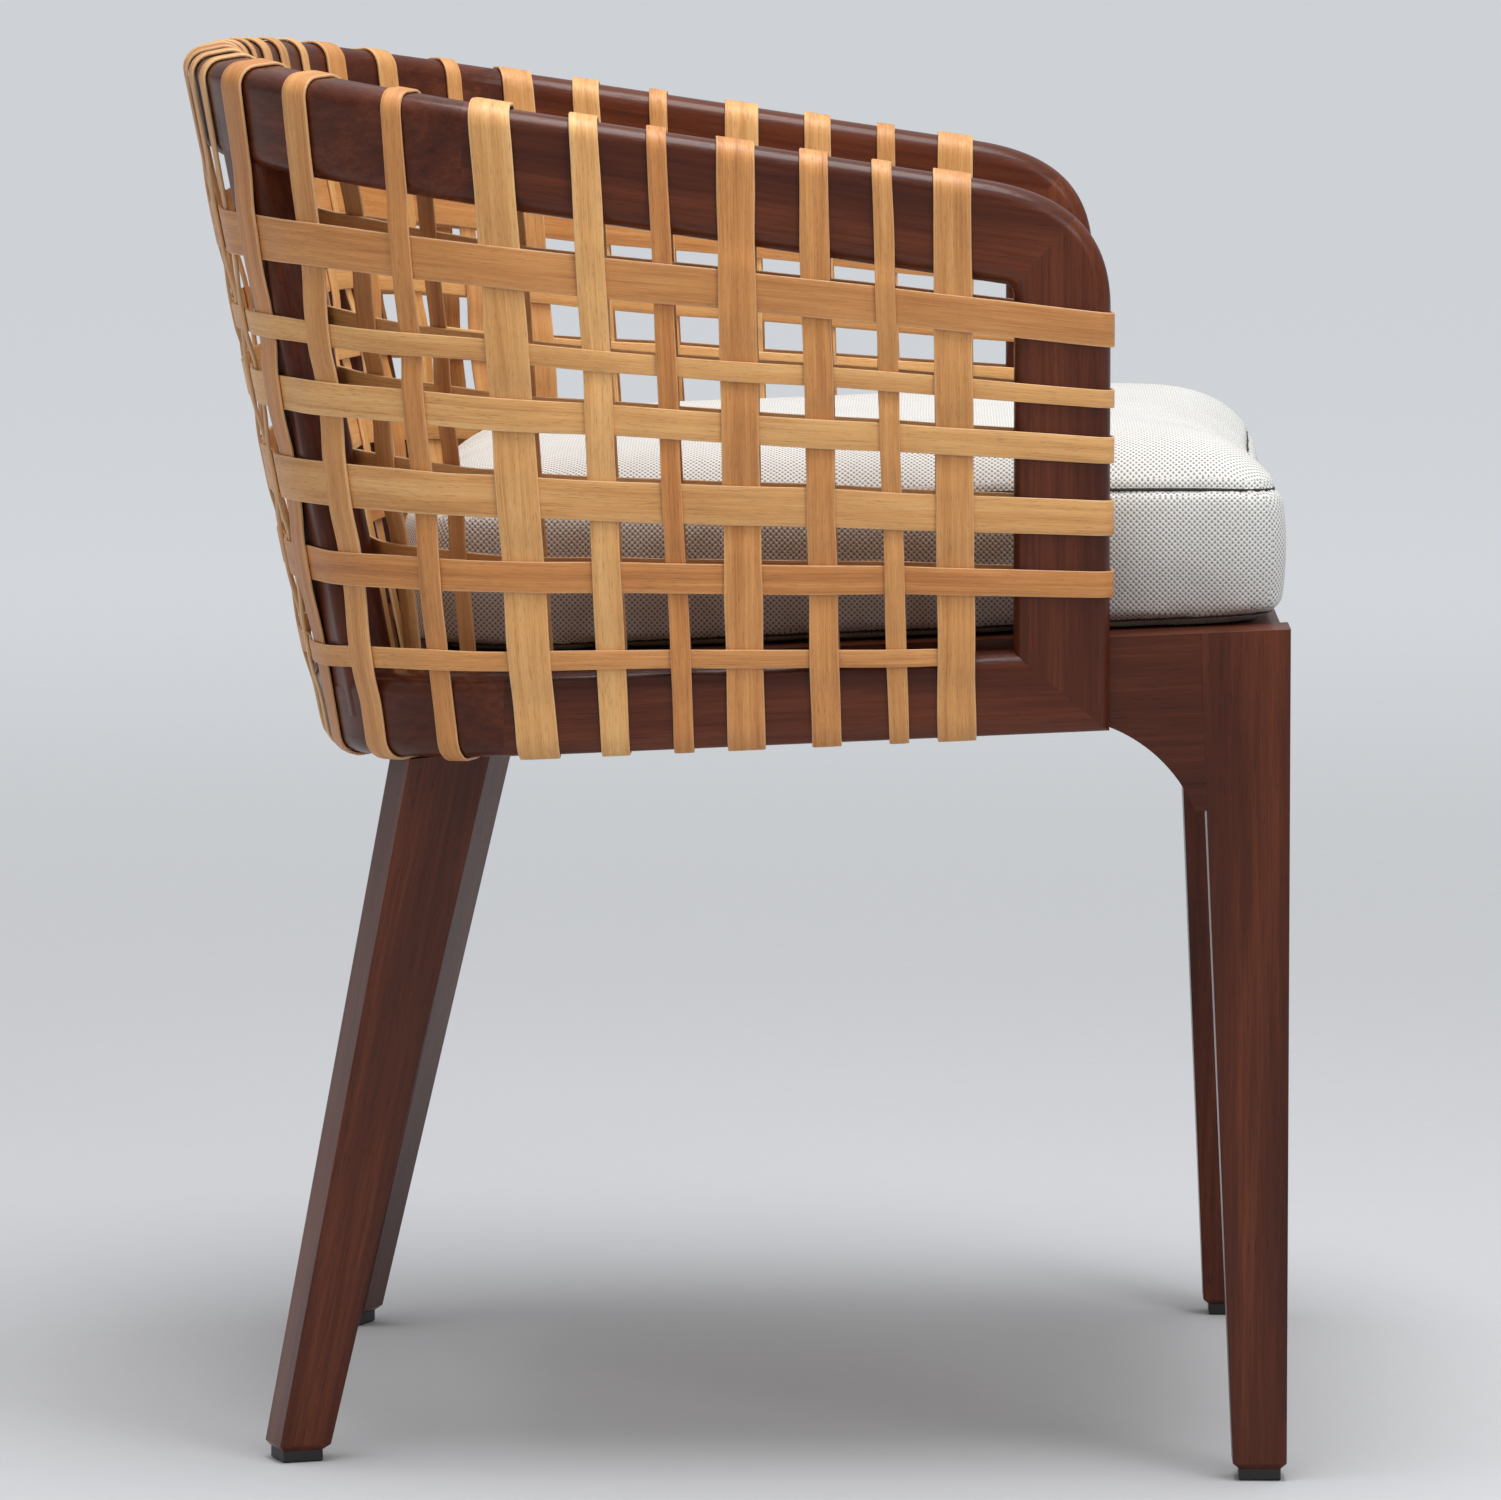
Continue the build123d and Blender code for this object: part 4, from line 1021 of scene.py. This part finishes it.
FLOOR_R, FLOOR_SIDES = 70.0, 96
turns = [2 * math.pi * i / FLOOR_SIDES for i in range(FLOOR_SIDES)]
ring = [(FLOOR_R * math.cos(turn), FLOOR_R * math.sin(turn), 0.0) for turn in turns]
floor_mesh = bpy.data.meshes.new("floor")
floor_mesh.from_pydata(ring, [], [tuple(range(FLOOR_SIDES))])
floor = bpy.data.objects.new("floor", floor_mesh)
bpy.context.scene.collection.objects.link(floor)
floor_mesh.materials.append(pale_floor())
print("floor radius", FLOOR_R)

# %% [markdown]
# ## Soft boxes and sky
# The overhead box gives the soft shadow under the seat. The one beside the camera lifts the near
# faces, and the sky brightens from the horizon up, so the far floor fades into it.


# %% Lights
def soft_box(name, at, aim, size, power, colour=(1.0, 1.0, 1.0)):
    data = bpy.data.lights.new(name, "AREA")
    data.shape, data.size, data.size_y = "RECTANGLE", size[0], size[1]
    data.energy, data.color = power, colour
    box = bpy.data.objects.new(name, data)
    bpy.context.scene.collection.objects.link(box)
    box.location = at
    box.rotation_euler = (Vector(aim) - Vector(at)).to_track_quat("-Z", "Y").to_euler()
    return box


def studio_sky(horizon, rise):
    """A sky that brightens from the horizon to the zenith."""
    sky = bpy.data.worlds.new("studio_sky")
    sky.use_nodes = True
    tree = sky.node_tree
    where = tree.nodes.new("ShaderNodeTexCoord")
    parts = tree.nodes.new("ShaderNodeSeparateXYZ")
    curve = tree.nodes.new("ShaderNodeMath")
    curve.operation, curve.inputs[1].default_value, curve.use_clamp = "POWER", 1.5, True
    scale = tree.nodes.new("ShaderNodeMath")
    scale.operation = "MULTIPLY_ADD"
    scale.inputs[1].default_value, scale.inputs[2].default_value = rise, horizon
    background = tree.nodes["Background"]
    background.inputs["Color"].default_value = (0.955, 0.975, 1.0, 1.0)
    tree.links.new(where.outputs["Generated"], parts.inputs[0])
    tree.links.new(parts.outputs["Z"], curve.inputs[0])
    tree.links.new(curve.outputs[0], scale.inputs[0])
    tree.links.new(scale.outputs[0], background.inputs["Strength"])
    return sky


soft_box("overhead_box", (-0.5, -0.15, 3.0), (-0.05, 0.0, 0.3), (1.3, 1.8), 62.0)
soft_box("camera_side_box", (-2.4, -1.7, 2.1), (0.0, 0.0, 0.5), (1.0, 1.0), 14.0)
bpy.context.scene.world = studio_sky(0.28, 0.75)
bpy.context.scene.view_settings.view_transform = "Standard"
print("lights", 2)
